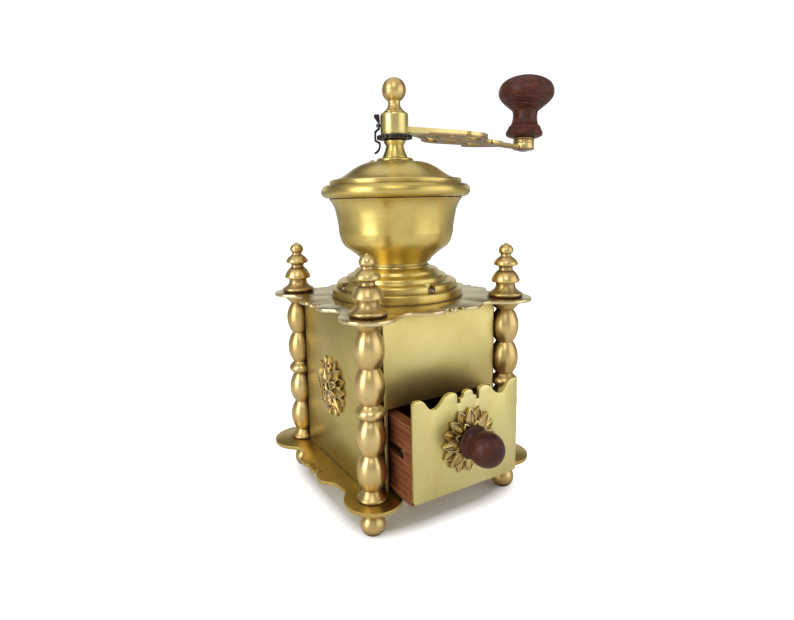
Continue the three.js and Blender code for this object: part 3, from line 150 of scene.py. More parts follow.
class Line:
    """A line of points in one plane, drawn like a template with straight runs and curves."""

    def __init__(self, x: float, y: float, steps: int = 8) -> None:
        """Start at a point.

        Args:
            x: first coordinate, or the radius where the line is a turning profile.
            y: second coordinate, or the height of a turning profile.
            steps: how many pieces each curve gets.
        """
        self.points: list[Pair] = [(x, y)]
        self.steps = steps

    @classmethod
    def through(cls, points: Iterable[Pair], steps: int = 8) -> "Line":
        """A line that runs through points already known.

        Args:
            points: the points in order.
            steps: how many pieces each later curve gets.

        Returns:
            The line.
        """
        line = cls(0, 0, steps)
        line.points = list(points)
        return line

    def to(self, *numbers: float) -> "Line":
        """Straight runs through points given as x, y, x, y and so on.

        Args:
            numbers: the coordinates, in pairs.

        Returns:
            The same line, for the next run.
        """
        self.points += list(zip(numbers[::2], numbers[1::2]))
        return self

    def sweep(self, ax: float, ay: float, bx: float, by: float, x: float, y: float) -> "Line":
        """A curve pulled by two points.

        Args:
            ax, ay: first pulling point.
            bx, by: second pulling point.
            x, y: end of the curve.

        Returns:
            The same line.
        """
        knots = [Vector((*self.points[-1], 0)), Vector((ax, ay, 0)), Vector((bx, by, 0)), Vector((x, y, 0))]
        self.points += [(p.x, p.y) for p in interpolate_bezier(*knots, self.steps + 1)[1:]]
        return self

    def curve(self, cx: float, cy: float, x: float, y: float) -> "Line":
        """A curve pulled by one point.

        Args:
            cx, cy: pulling point.
            x, y: end of the curve.

        Returns:
            The same line.
        """
        px, py = self.points[-1]
        third = 2 / 3
        return self.sweep(
            px + (cx - px) * third, py + (cy - py) * third, x + (cx - x) * third, y + (cy - y) * third, x, y
        )

    def arc(self, cx: float, cy: float, radius: float, start: float, end: float, steps: int = 16) -> "Line":
        """A round run about a centre.

        Args:
            cx, cy: centre.
            radius: radius of the run.
            start: first angle in degrees.
            end: last angle in degrees.
            steps: how many pieces the run gets.

        Returns:
            The same line.
        """
        for i in range(steps + 1):
            angle = math.radians(start + (end - start) * i / steps)
            self.points.append((cx + radius * math.cos(angle), cy + radius * math.sin(angle)))
        return self

    def moved(self, change: Callable[[float, float], Pair]) -> "Line":
        """A copy with each point put through a function.

        Args:
            change: gives a point's new place from its x and y.

        Returns:
            The new line.
        """
        return Line.through((change(x, y) for x, y in self.points), self.steps)

    def mirrored(self) -> "Line":
        """The line drawn once more on the other side of x = 0, joined into one loop."""
        far_side = [(-x, y) for x, y in reversed(self.points) if abs(x) > TINY]
        return Line.through(self.points + far_side, self.steps)

    def beside(self, distance: float) -> "Line":
        """A copy moved sideways, to the left of the way the line runs.

        Args:
            distance: how far, in millimetres.

        Returns:
            The new line.
        """
        other = Line.through((), self.steps)
        for i, (x, y) in enumerate(self.points):
            ax, ay = self.points[max(i - 1, 0)]
            bx, by = self.points[min(i + 1, len(self.points) - 1)]
            along = Vector((bx - ax, by - ay)).normalized()
            other.points.append((x - along.y * distance, y + along.x * distance))
        return other

    def softened(self, radius: float, closed: bool = False, angle: float = CORNER_TURN) -> "Line":
        """A copy with its sharp corners broken, as a file or a buff leaves them.

        Args:
            radius: how far from the corner the rounding starts, at most.
            closed: whether the last point joins the first.
            angle: the least turn, in degrees, that counts as a corner.

        Returns:
            The new line.
        """
        before_each = [(math.inf, math.inf), *self.points]
        apart = [p for p, q in zip(self.points, before_each) if math.dist(p, q) > TOUCHING]
        points = [Vector(p) for p in apart]
        if closed and (points[0] - points[-1]).length < TOUCHING:
            points.pop()
        other = Line.through((), self.steps)
        for i, corner in enumerate(points):
            ends = not closed and i in (0, len(points) - 1)
            before, after = points[i - 1], points[(i + 1) % len(points)]
            back, ahead = before - corner, after - corner
            if ends or math.degrees((-back).angle(ahead)) < angle:
                other.points.append(tuple(corner))
                continue
            reach = min(radius, back.length * 0.45, ahead.length * 0.45)
            start, end = corner + back.normalized() * reach, corner + ahead.normalized() * reach
            middle = (start + end) / 4 + corner / 2
            other.points += [tuple(start), tuple(middle), tuple(end)]
        return other

    def scored(self, height: float, depth: float = 0.4, width: float = 0.45) -> "Line":
        """A copy of a turning profile with a fine groove cut into its outermost run.

        Args:
            height: where the groove's middle is.
            depth: how deep it is cut.
            width: half its width.

        Returns:
            The new line.
        """
        best = None
        for i, ((x0, y0), (x1, y1)) in enumerate(zip(self.points, self.points[1:])):
            if abs(y1 - y0) > TINY and (y0 - height) * (y1 - height) <= 0:
                x = x0 + (x1 - x0) * (height - y0) / (y1 - y0)
                if best is None or x > best[1]:
                    best = (i, x)
        if best is None:
            return self
        i, x = best
        along = (Vector(self.points[i + 1]) - Vector(self.points[i])).normalized()
        middle = Vector((x, height))
        inward = Vector((-abs(along.y), math.copysign(along.x, along.x * along.y) if along.x else 0.0))
        start, end = middle - along * width, middle + along * width
        kept = [p for p in self.points[: i + 1] if math.dist(p, middle) > width * 1.2]
        rest = [p for p in self.points[i + 1 :] if math.dist(p, middle) > width * 1.2]
        cut = [tuple(start), tuple(middle + inward * depth), tuple(end)]
        return Line.through(kept + cut + rest, self.steps)


class Blank:
    """A workpiece: one mesh being shaped, in millimetres."""

    def __init__(self) -> None:
        """Start with an empty mesh."""
        self.bm = bmesh.new()

    @classmethod
    def turned(cls, line: Line, segments: int = Facets.MIDDLING) -> "Blank":
        """A profile turned about the z axis.

        Args:
            line: the profile, as radius and height.
            segments: how many facets go round.

        Returns:
            The turned blank.
        """
        blank = cls()
        bm = blank.bm
        verts = [bm.verts.new((x, 0, z)) for x, z in line.points]
        edges = [bm.edges.new(pair) for pair in zip(verts, verts[1:])]
        bmesh.ops.spin(
            bm, geom=verts + edges, cent=(0, 0, 0), axis=(0, 0, 1), dvec=(0, 0, 0), angle=math.tau,
            steps=segments, use_merge=True, use_normal_flip=False, use_duplicate=False,
        )
        return blank.closed_up()

    @classmethod
    def sheet(
        cls, outline: Line, low: float, high: float, holes: Sequence[Line] = (), edge: float = 0.3
    ) -> "Blank":
        """A flat outline raised from one height to another, with its rims rounded.

        Args:
            outline: the closed outline in plan.
            low: height of the underside.
            high: height of the upper side.
            holes: closed outlines cut through it.
            edge: how far the rims are rounded.

        Returns:
            The raised blank.
        """
        blank = cls()
        bm = blank.bm
        for loop in (outline, *holes):
            verts = [bm.verts.new((x, y, low)) for x, y in loop.points]
            for first, second in zip(verts, verts[1:] + verts[:1]):
                bm.edges.new((first, second))
        bmesh.ops.triangle_fill(
            bm, use_beauty=True, use_dissolve=False, edges=bm.edges[:], normal=(0, 0, 1)
        )
        raised = bmesh.ops.extrude_face_region(bm, geom=bm.faces[:])
        top = verts_of(raised)
        bmesh.ops.translate(bm, vec=(0, 0, high - low), verts=top)
        bmesh.ops.recalc_face_normals(bm, faces=bm.faces[:])
        rims = [e for e in bm.edges if abs(e.verts[0].co.z - e.verts[1].co.z) < TINY]
        return blank.rounded(edge, RIM_TURN, rims)

    @classmethod
    def bar(cls, low: Triple, high: Triple, edge: float = 0.4) -> "Blank":
        """A sawn and planed length between two corners.

        Args:
            low: lowest corner.
            high: highest corner.
            edge: how far its edges are rounded.

        Returns:
            The bar.
        """
        blank = cls()
        middle = [(a + b) / 2 for a, b in zip(low, high)]
        size = [b - a for a, b in zip(low, high)]
        place = Matrix.Translation(middle) @ Matrix.Diagonal((*size, 1))
        bmesh.ops.create_cube(blank.bm, size=1, matrix=place)
        return blank.rounded(edge)

    def rounded(
        self, width: float, angle: float = EDGE_TURN, edges: Iterable[bmesh.types.BMEdge] | None = None
    ) -> "Blank":
        """Round the edges that turn more than an angle.

        Args:
            width: how far the rounding reaches.
            angle: the least turn in degrees.
            edges: the edges to choose from, or all of them.

        Returns:
            The same blank.
        """
        bm = self.bm
        least = math.radians(angle)
        joints = [e for e in (edges or bm.edges) if len(e.link_faces) == 2]
        sharp = [e for e in joints if e.calc_face_angle(0) > least]
        if width > 0 and sharp:
            bmesh.ops.bevel(
                bm, geom=sharp, offset=width, offset_type="OFFSET", segments=2, profile=0.5, affect="EDGES",
                material=-1, clamp_overlap=True,
            )
        return self

    def closed_up(self) -> "Blank":
        """Close seams and poles and turn every face outwards.

        Returns:
            The same blank.
        """
        bm = self.bm
        bmesh.ops.remove_doubles(bm, verts=bm.verts[:], dist=WELDED)
        bmesh.ops.dissolve_degenerate(bm, dist=TOUCHING, edges=bm.edges[:])
        bmesh.ops.recalc_face_normals(bm, faces=bm.faces[:])
        return self

    def moved(self, place: Matrix) -> "Blank":
        """Put the blank somewhere else.

        Args:
            place: the turn and shift, in millimetres.

        Returns:
            The same blank.
        """
        bmesh.ops.transform(self.bm, matrix=place, verts=self.bm.verts[:])
        if place.determinant() < 0:
            bmesh.ops.reverse_faces(self.bm, faces=self.bm.faces[:])
        return self

    def shifted(self, x: float, y: float, z: float) -> "Blank":
        """Shift the blank without turning it."""
        return self.moved(Matrix.Translation((x, y, z)))

    def joined(self, *others: "Blank") -> "Blank":
        """Add other blanks to this one and use them up.

        Args:
            others: the blanks to add.

        Returns:
            The same blank.
        """
        for other in others:
            mesh = bpy.data.meshes.new("joint")
            other.bm.to_mesh(mesh)
            self.bm.from_mesh(mesh)
            other.bm.free()
            bpy.data.meshes.remove(mesh)
        return self

    def copied(self) -> "Blank":
        """A second blank of the same shape.

        Returns:
            The copy.
        """
        other = Blank()
        other.bm.free()
        other.bm = self.bm.copy()
        return other

    def shown(
        self, name: str, finish: "Finish", body: Body, slot: Slot, *nodes: str, crease: float = CREASE
    ) -> None:
        """Write the blank to the scene as a finished piece.

        Args:
            name: the piece's name.
            finish: what it is made of.
            body: what it rides on.
            slot: the record's slot, not used.
            nodes: the nodes it stands for.
            crease: the least turn in degrees that stays a crisp edge.
        """
        self.moved(Matrix.Diagonal((MILLIMETRE, MILLIMETRE, MILLIMETRE, 1)))
        mesh = bpy.data.meshes.new(name)
        self.bm.to_mesh(mesh)
        self.bm.free()
        mesh.shade_smooth()
        mesh.set_sharp_from_angle(angle=math.radians(crease))
        mesh.materials.append(finish.material)
        piece = bpy.data.objects.new(name, mesh)
        bpy.context.scene.collection.objects.link(piece)
        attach(piece, body.value)
        if nodes:
            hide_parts(*nodes)
        log.info("%s: %d faces, rides on %s", name, len(mesh.polygons), body.value)


def circle(radius: float, x: float = 0, y: float = 0, steps: int = 32) -> Line:
    """A round loop.

    Args:
        radius: its radius.
        x, y: its centre.
        steps: how many points it has.

    Returns:
        The loop, without a doubled last point.
    """
    step = 360 / steps
    return Line(x + radius, y).arc(x, y, radius, step, 360 - step, steps - 2)


def turn_about(axis: str, degrees: float) -> Matrix:
    """A turn about one axis of the frame."""
    return Matrix.Rotation(math.radians(degrees), 4, axis)


# Effects that several finishes share, each one a shader node group


class Effect:
    """A shader node group with named sockets, built once and placed in many materials."""

    def __init__(
        self, name: str, inputs: Sequence[tuple[str, str, object]], outputs: Sequence[tuple[str, str]]
    ) -> None:
        """Make the group and its sockets.

        Args:
            name: the group's name.
            inputs: name, socket kind and preset value of each input.
            outputs: name and socket kind of each output.
        """
        self.tree = bpy.data.node_groups.new(name, "ShaderNodeTree")
        for label, kind, preset in inputs:
            socket = self.tree.interface.new_socket(label, in_out="INPUT", socket_type=kind)
            if preset is not None:
                socket.default_value = preset
        for label, kind in outputs:
            self.tree.interface.new_socket(label, in_out="OUTPUT", socket_type=kind)
        self.inlet = self.tree.nodes.new("NodeGroupInput")
        self.outlet = self.tree.nodes.new("NodeGroupOutput")
        self.bench = Bench(self.tree)

    def give(self, label: str, source: Socket) -> None:
        """Send a value out of the group."""
        self.tree.links.new(source, self.outlet.inputs[label])

    def take(self, label: str) -> Socket:
        """The group's own input of that name."""
        return self.inlet.outputs[label]


FLOAT, VECTOR = "NodeSocketFloat", "NodeSocketVector"


class Bench:
    """Short ways to lay out shader nodes in one node tree."""

    def __init__(self, tree: bpy.types.NodeTree) -> None:
        """Work in a node tree."""
        self.tree = tree

    def node(self, kind: str, **settings: object) -> Node:
        """Add a node.

        Args:
            kind: the node's type name.
            settings: attributes to set on it.

        Returns:
            The node.
        """
        node = self.tree.nodes.new(kind)
        for name, value in settings.items():
            setattr(node, name, value)
        return node

    def feed(self, socket: Socket, source: Source) -> None:
        """Link a socket to another, or set its value.

        Args:
            socket: the input.
            source: an output socket, or a value.
        """
        if isinstance(source, Socket):
            self.tree.links.new(source, socket)
        else:
            socket.default_value = source

    def place(
        self, vector: Source, scale: Triple, centre: Triple = (0, 0, 0), turn: Triple = (0, 0, 0)
    ) -> Socket:
        """A pattern's place: centred, turned and stretched.

        Args:
            vector: the coordinates.
            scale: the pattern's scale along each axis.
            centre: the shift in the scaled pattern.
            turn: the turn in radians.

        Returns:
            The new coordinates.
        """
        node = self.node("ShaderNodeMapping")
        self.feed(node.inputs["Vector"], vector)
        node.inputs["Scale"].default_value = scale
        node.inputs["Location"].default_value = centre
        node.inputs["Rotation"].default_value = turn
        return node.outputs["Vector"]

    def noise(self, vector: Source, scale: Source, detail: float = 3, rough: float = 0.55) -> Socket:
        """Cloudy variation.

        Args:
            vector: the coordinates.
            scale: how fine it is.
            detail: how many layers it has.
            rough: how strong the fine layers are.

        Returns:
            The value.
        """
        node = self.node("ShaderNodeTexNoise")
        self.feed(node.inputs["Vector"], vector)
        self.feed(node.inputs["Scale"], scale)
        node.inputs["Detail"].default_value = detail
        node.inputs["Roughness"].default_value = rough
        return node.outputs["Fac"]

    def sum(self, operation: str, first: Source, second: Source = 0.0, clamp: bool = False) -> Socket:
        """What a Math node makes of one value or two.

        Args:
            operation: the Math node's operation.
            first: first value.
            second: second value.
            clamp: whether the result stays between 0 and 1.

        Returns:
            The result.
        """
        node = self.node("ShaderNodeMath", operation=operation, use_clamp=clamp)
        self.feed(node.inputs[0], first)
        self.feed(node.inputs[1], second)
        return node.outputs[0]

    def times(self, first: Source, second: Source, clamp: bool = False) -> Socket:
        """One value multiplied by another."""
        return self.sum("MULTIPLY", first, second, clamp)

    def plus(self, first: Source, second: Source, clamp: bool = False) -> Socket:
        """Two values added."""
        return self.sum("ADD", first, second, clamp)

    def minus(self, first: Source, second: Source) -> Socket:
        """One value less another."""
        return self.sum("SUBTRACT", first, second)

    def span(
        self, value: Source, low: Source, high: Source, new_low: Source = 0.0, new_high: Source = 1.0
    ) -> Socket:
        """A value moved from one span to another, held at the ends.

        Args:
            value: the value.
            low: start of its span.
            high: end of its span.
            new_low: start of the new span.
            new_high: end of the new span.

        Returns:
            The new value.
        """
        node = self.node("ShaderNodeMapRange", clamp=True)
        for socket, source in zip(node.inputs, (value, low, high, new_low, new_high)):
            self.feed(socket, source)
        return node.outputs[0]

    def blend(self, share: Source, first: Source, second: Source) -> Socket:
        """Two colours mixed.

        Args:
            share: how much of the second one there is.
            first: first colour.
            second: second colour.

        Returns:
            The colour.
        """
        node = self.node("ShaderNodeMix", data_type="RGBA", clamp_factor=True)
        self.feed(node.inputs[0], share)
        self.feed(node.inputs[6], first)
        self.feed(node.inputs[7], second)
        return node.outputs[2]

    def bump(self, shader: Node, height: Source, strength: float, distance: float) -> None:
        """Raise a shader's surface.

        Args:
            shader: the shader.
            height: the relief.
            strength: how much of it shows.
            distance: its height in metres.
        """
        node = self.node("ShaderNodeBump")
        node.inputs["Strength"].default_value = strength
        node.inputs["Distance"].default_value = distance
        self.feed(node.inputs["Height"], height)
        self.feed(shader.inputs["Normal"], node.outputs["Normal"])

    def effect(self, effect: Effect, **values: Source) -> Node:
        """Place a shared effect.

        Args:
            effect: the effect.
            values: its inputs by name, with underscores for spaces.

        Returns:
            The group node.
        """
        node = self.node("ShaderNodeGroup", node_tree=effect.tree)
        for name, value in values.items():
            self.feed(node.inputs[name.replace("_", " ").capitalize()], value)
        return node


def make_tone() -> Effect:
    """Slow, cloudy change of tone over a surface, as handling and age leave it.

    Returns:
        The effect.
    """
    effect = Effect(
        "Uneven tone",
        [("Vector", VECTOR, None), ("Scale", FLOAT, 30.0), ("Contrast", FLOAT, 1.0)],
        [("Mask", FLOAT)],
    )
    bench = effect.bench
    broad = bench.noise(effect.take("Vector"), effect.take("Scale"), 4, 0.6)
    lean = bench.times(bench.minus(broad, 0.5), effect.take("Contrast"))
    effect.give("Mask", bench.plus(bench.times(lean, 2.4), 0.5, clamp=True))
    return effect


def make_brush_marks() -> Effect:
    """Fine parallel lines left by an abrasive wheel or belt, with a few deeper scratches.

    Returns:
        The effect.
    """
    effect = Effect(
        "Brush marks",
        [("Vector", VECTOR, None), ("Fineness", FLOAT, 2600.0)],
        [("Height", FLOAT), ("Scratches", FLOAT)],
    )
    bench = effect.bench
    fine = bench.noise(effect.take("Vector"), effect.take("Fineness"), 2, 0.7)
    coarse = bench.noise(effect.take("Vector"), bench.times(effect.take("Fineness"), 0.23), 2, 0.6)
    effect.give("Height", bench.plus(bench.times(fine, 0.6), bench.times(coarse, 0.4)))
    effect.give("Scratches", bench.span(coarse, 0.62, 0.72))
    return effect


def make_edge_wear() -> Effect:
    """Where hands and polishing rub an edge bright, broken up so that it isn't an even line.

    Returns:
        The effect.
    """
    effect = Effect(
        "Edge wear",
        [("Vector", VECTOR, None), ("Width", FLOAT, 0.0008), ("Breaks", FLOAT, 400.0)],
        [("Mask", FLOAT)],
    )
    bench = effect.bench
    soft = bench.node("ShaderNodeBevel", samples=4)
    bench.feed(soft.inputs["Radius"], effect.take("Width"))
    face = bench.node("ShaderNodeNewGeometry")
    dot = bench.node("ShaderNodeVectorMath", operation="DOT_PRODUCT")
    bench.feed(dot.inputs[0], soft.outputs["Normal"])
    bench.feed(dot.inputs[1], face.outputs["Normal"])
    turned = bench.minus(1.0, dot.outputs["Value"])
    edge = bench.span(turned, 0.01, 0.14)
    breaks = bench.span(bench.noise(effect.take("Vector"), effect.take("Breaks"), 3), 0.3, 0.6, 0.35, 1.0)
    effect.give("Mask", bench.times(edge, breaks, clamp=True))
    return effect


def make_recess_grime_and_shade() -> Effect:
    """Dark polish and dust that stay in corners and grooves where a cloth can't reach, together with
    painted shade there: the more hidden a point is, the darker it is painted.

    Returns:
        The effect.
    """
    effect = Effect(
        "Recess dirt and painted shade",
        [("Vector", VECTOR, None), ("Reach", FLOAT, 0.003), ("Strength", FLOAT, 1.0)],
        [("Mask", FLOAT)],
    )
    bench = effect.bench
    # Painted shade: ambient occlusion finds how hidden a point is, and the mask darkens it along with the
    # grime.
    shade = bench.node("ShaderNodeAmbientOcclusion", samples=6, only_local=False)
    bench.feed(shade.inputs["Distance"], effect.take("Reach"))
    hidden = bench.span(shade.outputs["AO"], 0.32, 0.86, 1.0, 0.0)
    broken = bench.span(bench.noise(effect.take("Vector"), 260.0, 3), 0.25, 0.7, 0.7, 1.15)
    mask = bench.times(bench.times(hidden, broken), effect.take("Strength"), clamp=True)
    effect.give("Mask", mask)
    return effect


def make_wood_grain() -> Effect:
    """Growth rings, darker streaks and fine pores of a hardwood, along its stretched direction.

    Returns:
        The effect.
    """
    effect = Effect(
        "Wood grain",
        [("Vector", VECTOR, None), ("Rings", FLOAT, 60.0), ("Pores", FLOAT, 900.0)],
        [("Rings", FLOAT), ("Streaks", FLOAT), ("Pores", FLOAT)],
    )
    bench = effect.bench
    drift = bench.noise(effect.take("Vector"), bench.times(effect.take("Rings"), 0.35), 2)
    wave = bench.node("ShaderNodeTexWave", wave_type="RINGS", rings_direction="Z", wave_profile="SAW")
    bench.feed(wave.inputs["Vector"], effect.take("Vector"))
    bench.feed(wave.inputs["Scale"], effect.take("Rings"))
    wave.inputs["Distortion"].default_value = 3.2
    wave.inputs["Detail"].default_value = 3
    wave.inputs["Detail Scale"].default_value = 1.4
    effect.give("Rings", bench.plus(bench.times(wave.outputs["Fac"], 0.75), bench.times(drift, 0.25)))
    effect.give(
        "Streaks",
        bench.span(
            bench.noise(effect.take("Vector"), bench.times(effect.take("Rings"), 1.7), 4, 0.65), 0.42, 0.68
        )
    )
    effect.give(
        "Pores", bench.span(bench.noise(effect.take("Vector"), effect.take("Pores"), 2, 0.8), 0.6, 0.72)
    )
    return effect


TONE, BRUSH, WEAR = make_tone(), make_brush_marks(), make_edge_wear()
RECESS_GRIME_AND_SHADE, WOOD = make_recess_grime_and_shade(), make_wood_grain()


# Finishes


def started(name: str) -> tuple[bpy.types.Material, Bench, Node, Socket]:
    """A new material with its shader and the piece's own coordinates.

    Args:
        name: the material's name.

    Returns:
        The material, a bench on its nodes, its shader and the object coordinates.
    """
    material = bpy.data.materials.new(name)
    material.use_nodes = True
    bench = Bench(material.node_tree)
    shader = material.node_tree.nodes["Principled BSDF"]
    return material, bench, shader, bench.node("ShaderNodeTexCoord").outputs["Object"]


@dataclass(frozen=True)
class Brass:
    """Satin brass: its clean and dull tones, the way it was brushed, its wear, grime with painted shade in
    its recesses, and painted shade on an underside.
    """

    name: str
    clean: Colour = (0.74, 0.60, 0.26, 1)
    dull: Colour = (0.56, 0.42, 0.14, 1)
    # The colour of grime in recesses, which also stands in for painted shade there; the next fields set how
    # strong and how far reaching both are.
    grime_and_shade: Colour = (0.09, 0.055, 0.02, 1)
    bright: Colour = (0.93, 0.82, 0.5, 1)
    roughness: float = 0.3
    grain: Grain = Grain.EVEN
    fineness: float = 2600.0
    marks: float = 0.05
    cloud: float = 26.0
    worn: float = 0.6
    soiled_and_shaded: float = 0.8
    reach: float = 0.003
    pitted: float = 0.0
    drawn_out: float = 0.0
    # Painted shade of an underside: the tilted plane below which the colour is painted darker, and that
    # darker colour.
    painted_shade_plane: Triple | None = None
    painted_shade_colour: Colour = (0.36, 0.24, 0.1, 1)
    hub_edge: Pair = (0.0092, 0.0098)

    def material(self) -> bpy.types.Material:
        """Build the finish.

        Returns:
            The material.
        """
        material, bench, shader, vector = started(self.name)
        stretched = bench.place(vector, self.grain.value)
        tone = bench.effect(TONE, vector=vector, scale=self.cloud, contrast=1.0)
        marks = bench.effect(BRUSH, vector=stretched, fineness=self.fineness)
        wear = bench.effect(WEAR, vector=vector, width=0.0007, breaks=500.0)
        # Grime in recesses together with painted shade there: the colour is darkened where ambient
        # occlusion finds a point hidden.
        soil_and_shade = bench.effect(RECESS_GRIME_AND_SHADE, vector=vector, reach=self.reach, strength=self.soiled_and_shaded)
        streaky = bench.span(marks.outputs["Height"], 0.3, 0.7, -0.18, 0.18)
        share = bench.plus(tone.outputs["Mask"], streaky, clamp=True)
        metal = bench.blend(share, self.dull, self.clean)
        rubbed = bench.blend(bench.times(wear.outputs["Mask"], self.worn), metal, self.bright)
        # Painted shade: below the tilted plane the colour is painted darker; from here rubbed carries the
        # wear and this painted shade.
        if self.painted_shade_plane:
            rubbed = bench.blend(self.painted_shade_below(bench, vector), rubbed, self.painted_shade_colour)
        bench.feed(shader.inputs["Base Color"], bench.blend(soil_and_shade.outputs["Mask"], rubbed, self.grime_and_shade))
        dull = bench.span(tone.outputs["Mask"], 0.0, 1.0, self.roughness + 0.07, self.roughness - 0.04)
        scuffed = bench.plus(dull, bench.times(marks.outputs["Scratches"], 0.06))
        smooth = bench.minus(scuffed, bench.times(wear.outputs["Mask"], 0.08))
        matt = bench.plus(smooth, bench.times(soil_and_shade.outputs["Mask"], 0.3))
        bench.feed(shader.inputs["Roughness"], matt)
        shader.inputs["Metallic"].default_value = 1.0
        if self.drawn_out:
            shader.inputs["Anisotropic"].default_value = self.drawn_out
            shader.inputs["Anisotropic Rotation"].default_value = 0.25
            ring = bench.node("ShaderNodeTangent", direction_type="RADIAL", axis="Z")
            bench.feed(shader.inputs["Tangent"], ring.outputs["Tangent"])
        pits = bench.times(bench.noise(vector, 700.0, 4, 0.6), self.pitted)
        lines = bench.times(marks.outputs["Height"], self.marks * 10)
        bench.bump(shader, bench.plus(lines, pits), 0.5, 0.0001)
        return material

    def painted_shade_below(self, bench: Bench, vector: Source) -> Socket:
        """Painted shade on the underside: all that lies below a tilted plane, beyond the hub, is painted
        darker.

        Args:
            bench: the material's bench.
            vector: the object coordinates.

        Returns:
            The mask.
        """
        level, azimuth, droop = self.painted_shade_plane
        turned = bench.place(vector, (1, 1, 1), turn=(0, 0, -math.radians(azimuth)))
        flat = bench.node("ShaderNodeSeparateXYZ")
        bench.feed(flat.inputs[0], bench.place(turned, (1, 1, 1), turn=(0, -math.radians(droop), 0)))
        below = bench.span(flat.outputs[2], level + 0.0002, level - 0.0003)
        return bench.times(below, bench.span(flat.outputs[0], *self.hub_edge))


@dataclass(frozen=True)
class Timber:
    """Wood, bare or polished: its tones, the way the grain runs and its polish."""

    name: str
    pale: Colour
    deep: Colour
    worn: Colour
    roughness: float = 0.42
    polish: float = 0.25
    grain: Triple = (1.0, 1.0, 0.12)
    centre: Triple = (0.0, 0.0, 0.0)
    turn: Triple = (0.0, 0.0, 0.0)
    rings: float = 60.0
    wear: float = 0.5
    pore: Colour = (0.012, 0.006, 0.004, 1)
    # The colour of grime in hollows, which also stands in for painted shade there.
    grime_and_shade: Colour = (0.01, 0.006, 0.004, 1)

    def material(self) -> bpy.types.Material:
        """Build the finish.

        Returns:
            The material.
        """
        material, bench, shader, vector = started(self.name)
        along = bench.place(vector, self.grain, self.centre, self.turn)
        grain = bench.effect(WOOD, vector=along, rings=self.rings, pores=1400.0)
        tone = bench.effect(TONE, vector=vector, scale=55.0, contrast=0.8)
        edges = bench.effect(WEAR, vector=vector, width=0.0012, breaks=300.0)
        # Grime in hollows together with painted shade there: darker where ambient occlusion finds a point
        # hidden.
        soil_and_shade = bench.effect(RECESS_GRIME_AND_SHADE, vector=vector, reach=0.005, strength=1.3)
        share = bench.plus(bench.times(grain.outputs["Rings"], 0.6), bench.times(tone.outputs["Mask"], 0.4))
        base = bench.blend(share, self.pale, self.deep)
        streaked = bench.blend(bench.times(grain.outputs["Streaks"], 0.55), base, self.deep)
        pored = bench.blend(bench.times(grain.outputs["Pores"], 0.7), streaked, self.pore)
        rubbed = bench.blend(bench.times(edges.outputs["Mask"], self.wear), pored, self.worn)
        bench.feed(shader.inputs["Base Color"], bench.blend(soil_and_shade.outputs["Mask"], rubbed, self.grime_and_shade))
        matt = bench.span(tone.outputs["Mask"], 0, 1, self.roughness - 0.08, self.roughness + 0.1)
        bench.feed(shader.inputs["Roughness"], matt)
        shader.inputs["Specular IOR Level"].default_value = 0.16
        shader.inputs["Coat Weight"].default_value = self.polish
        shader.inputs["Coat Roughness"].default_value = 0.34
        height = bench.minus(bench.times(grain.outputs["Rings"], 0.4), grain.outputs["Pores"])
        bench.bump(shader, height, 0.5, 0.0002)
        return material


@dataclass(frozen=True)
class Iron:
    """Steel or iron: bright, blackened or rough from the casting."""

    name: str
    clean: Colour
    dull: Colour
    roughness: float = 0.4
    metallic: float = 1.0
    grain: Grain = Grain.ROUND_Z
    pitted: float = 0.4
    rust: float = 0.0
    rusty: Colour = (0.13, 0.05, 0.02, 1)
    bright: Colour = (0.5, 0.48, 0.45, 1)
    # The colour of grime in hollows, which also stands in for painted shade there.
    grime_and_shade: Colour = (0.015, 0.012, 0.01, 1)

    def material(self) -> bpy.types.Material:
        """Build the finish.

        Returns:
            The material.
        """
        material, bench, shader, vector = started(self.name)
        tone = bench.effect(TONE, vector=vector, scale=140.0, contrast=1.0)
        marks = bench.effect(BRUSH, vector=bench.place(vector, self.grain.value), fineness=2200.0)
        wear = bench.effect(WEAR, vector=vector, width=0.0006, breaks=700.0)
        # Grime in hollows together with painted shade there: darker where ambient occlusion finds a point
        # hidden.
        soil_and_shade = bench.effect(RECESS_GRIME_AND_SHADE, vector=vector, reach=0.002, strength=0.8)
        metal = bench.blend(tone.outputs["Mask"], self.dull, self.clean)
        spots = bench.span(bench.noise(vector, 420.0, 4, 0.7), 0.5, 0.7, 0.0, self.rust)
        spotted = bench.blend(spots, metal, self.rusty)
        rubbed = bench.blend(bench.times(wear.outputs["Mask"], 0.6), spotted, self.bright)
        bench.feed(shader.inputs["Base Color"], bench.blend(soil_and_shade.outputs["Mask"], rubbed, self.grime_and_shade))
        matt = bench.span(tone.outputs["Mask"], 0, 1, self.roughness + 0.12, self.roughness - 0.05)
        bench.feed(shader.inputs["Roughness"], matt)
        shader.inputs["Metallic"].default_value = self.metallic
        pits = bench.times(bench.noise(vector, 900.0, 4, 0.7), self.pitted)
        lines = bench.times(marks.outputs["Height"], 0.4)
        bench.bump(shader, bench.plus(pits, lines), 0.4, 0.0001)
        return material


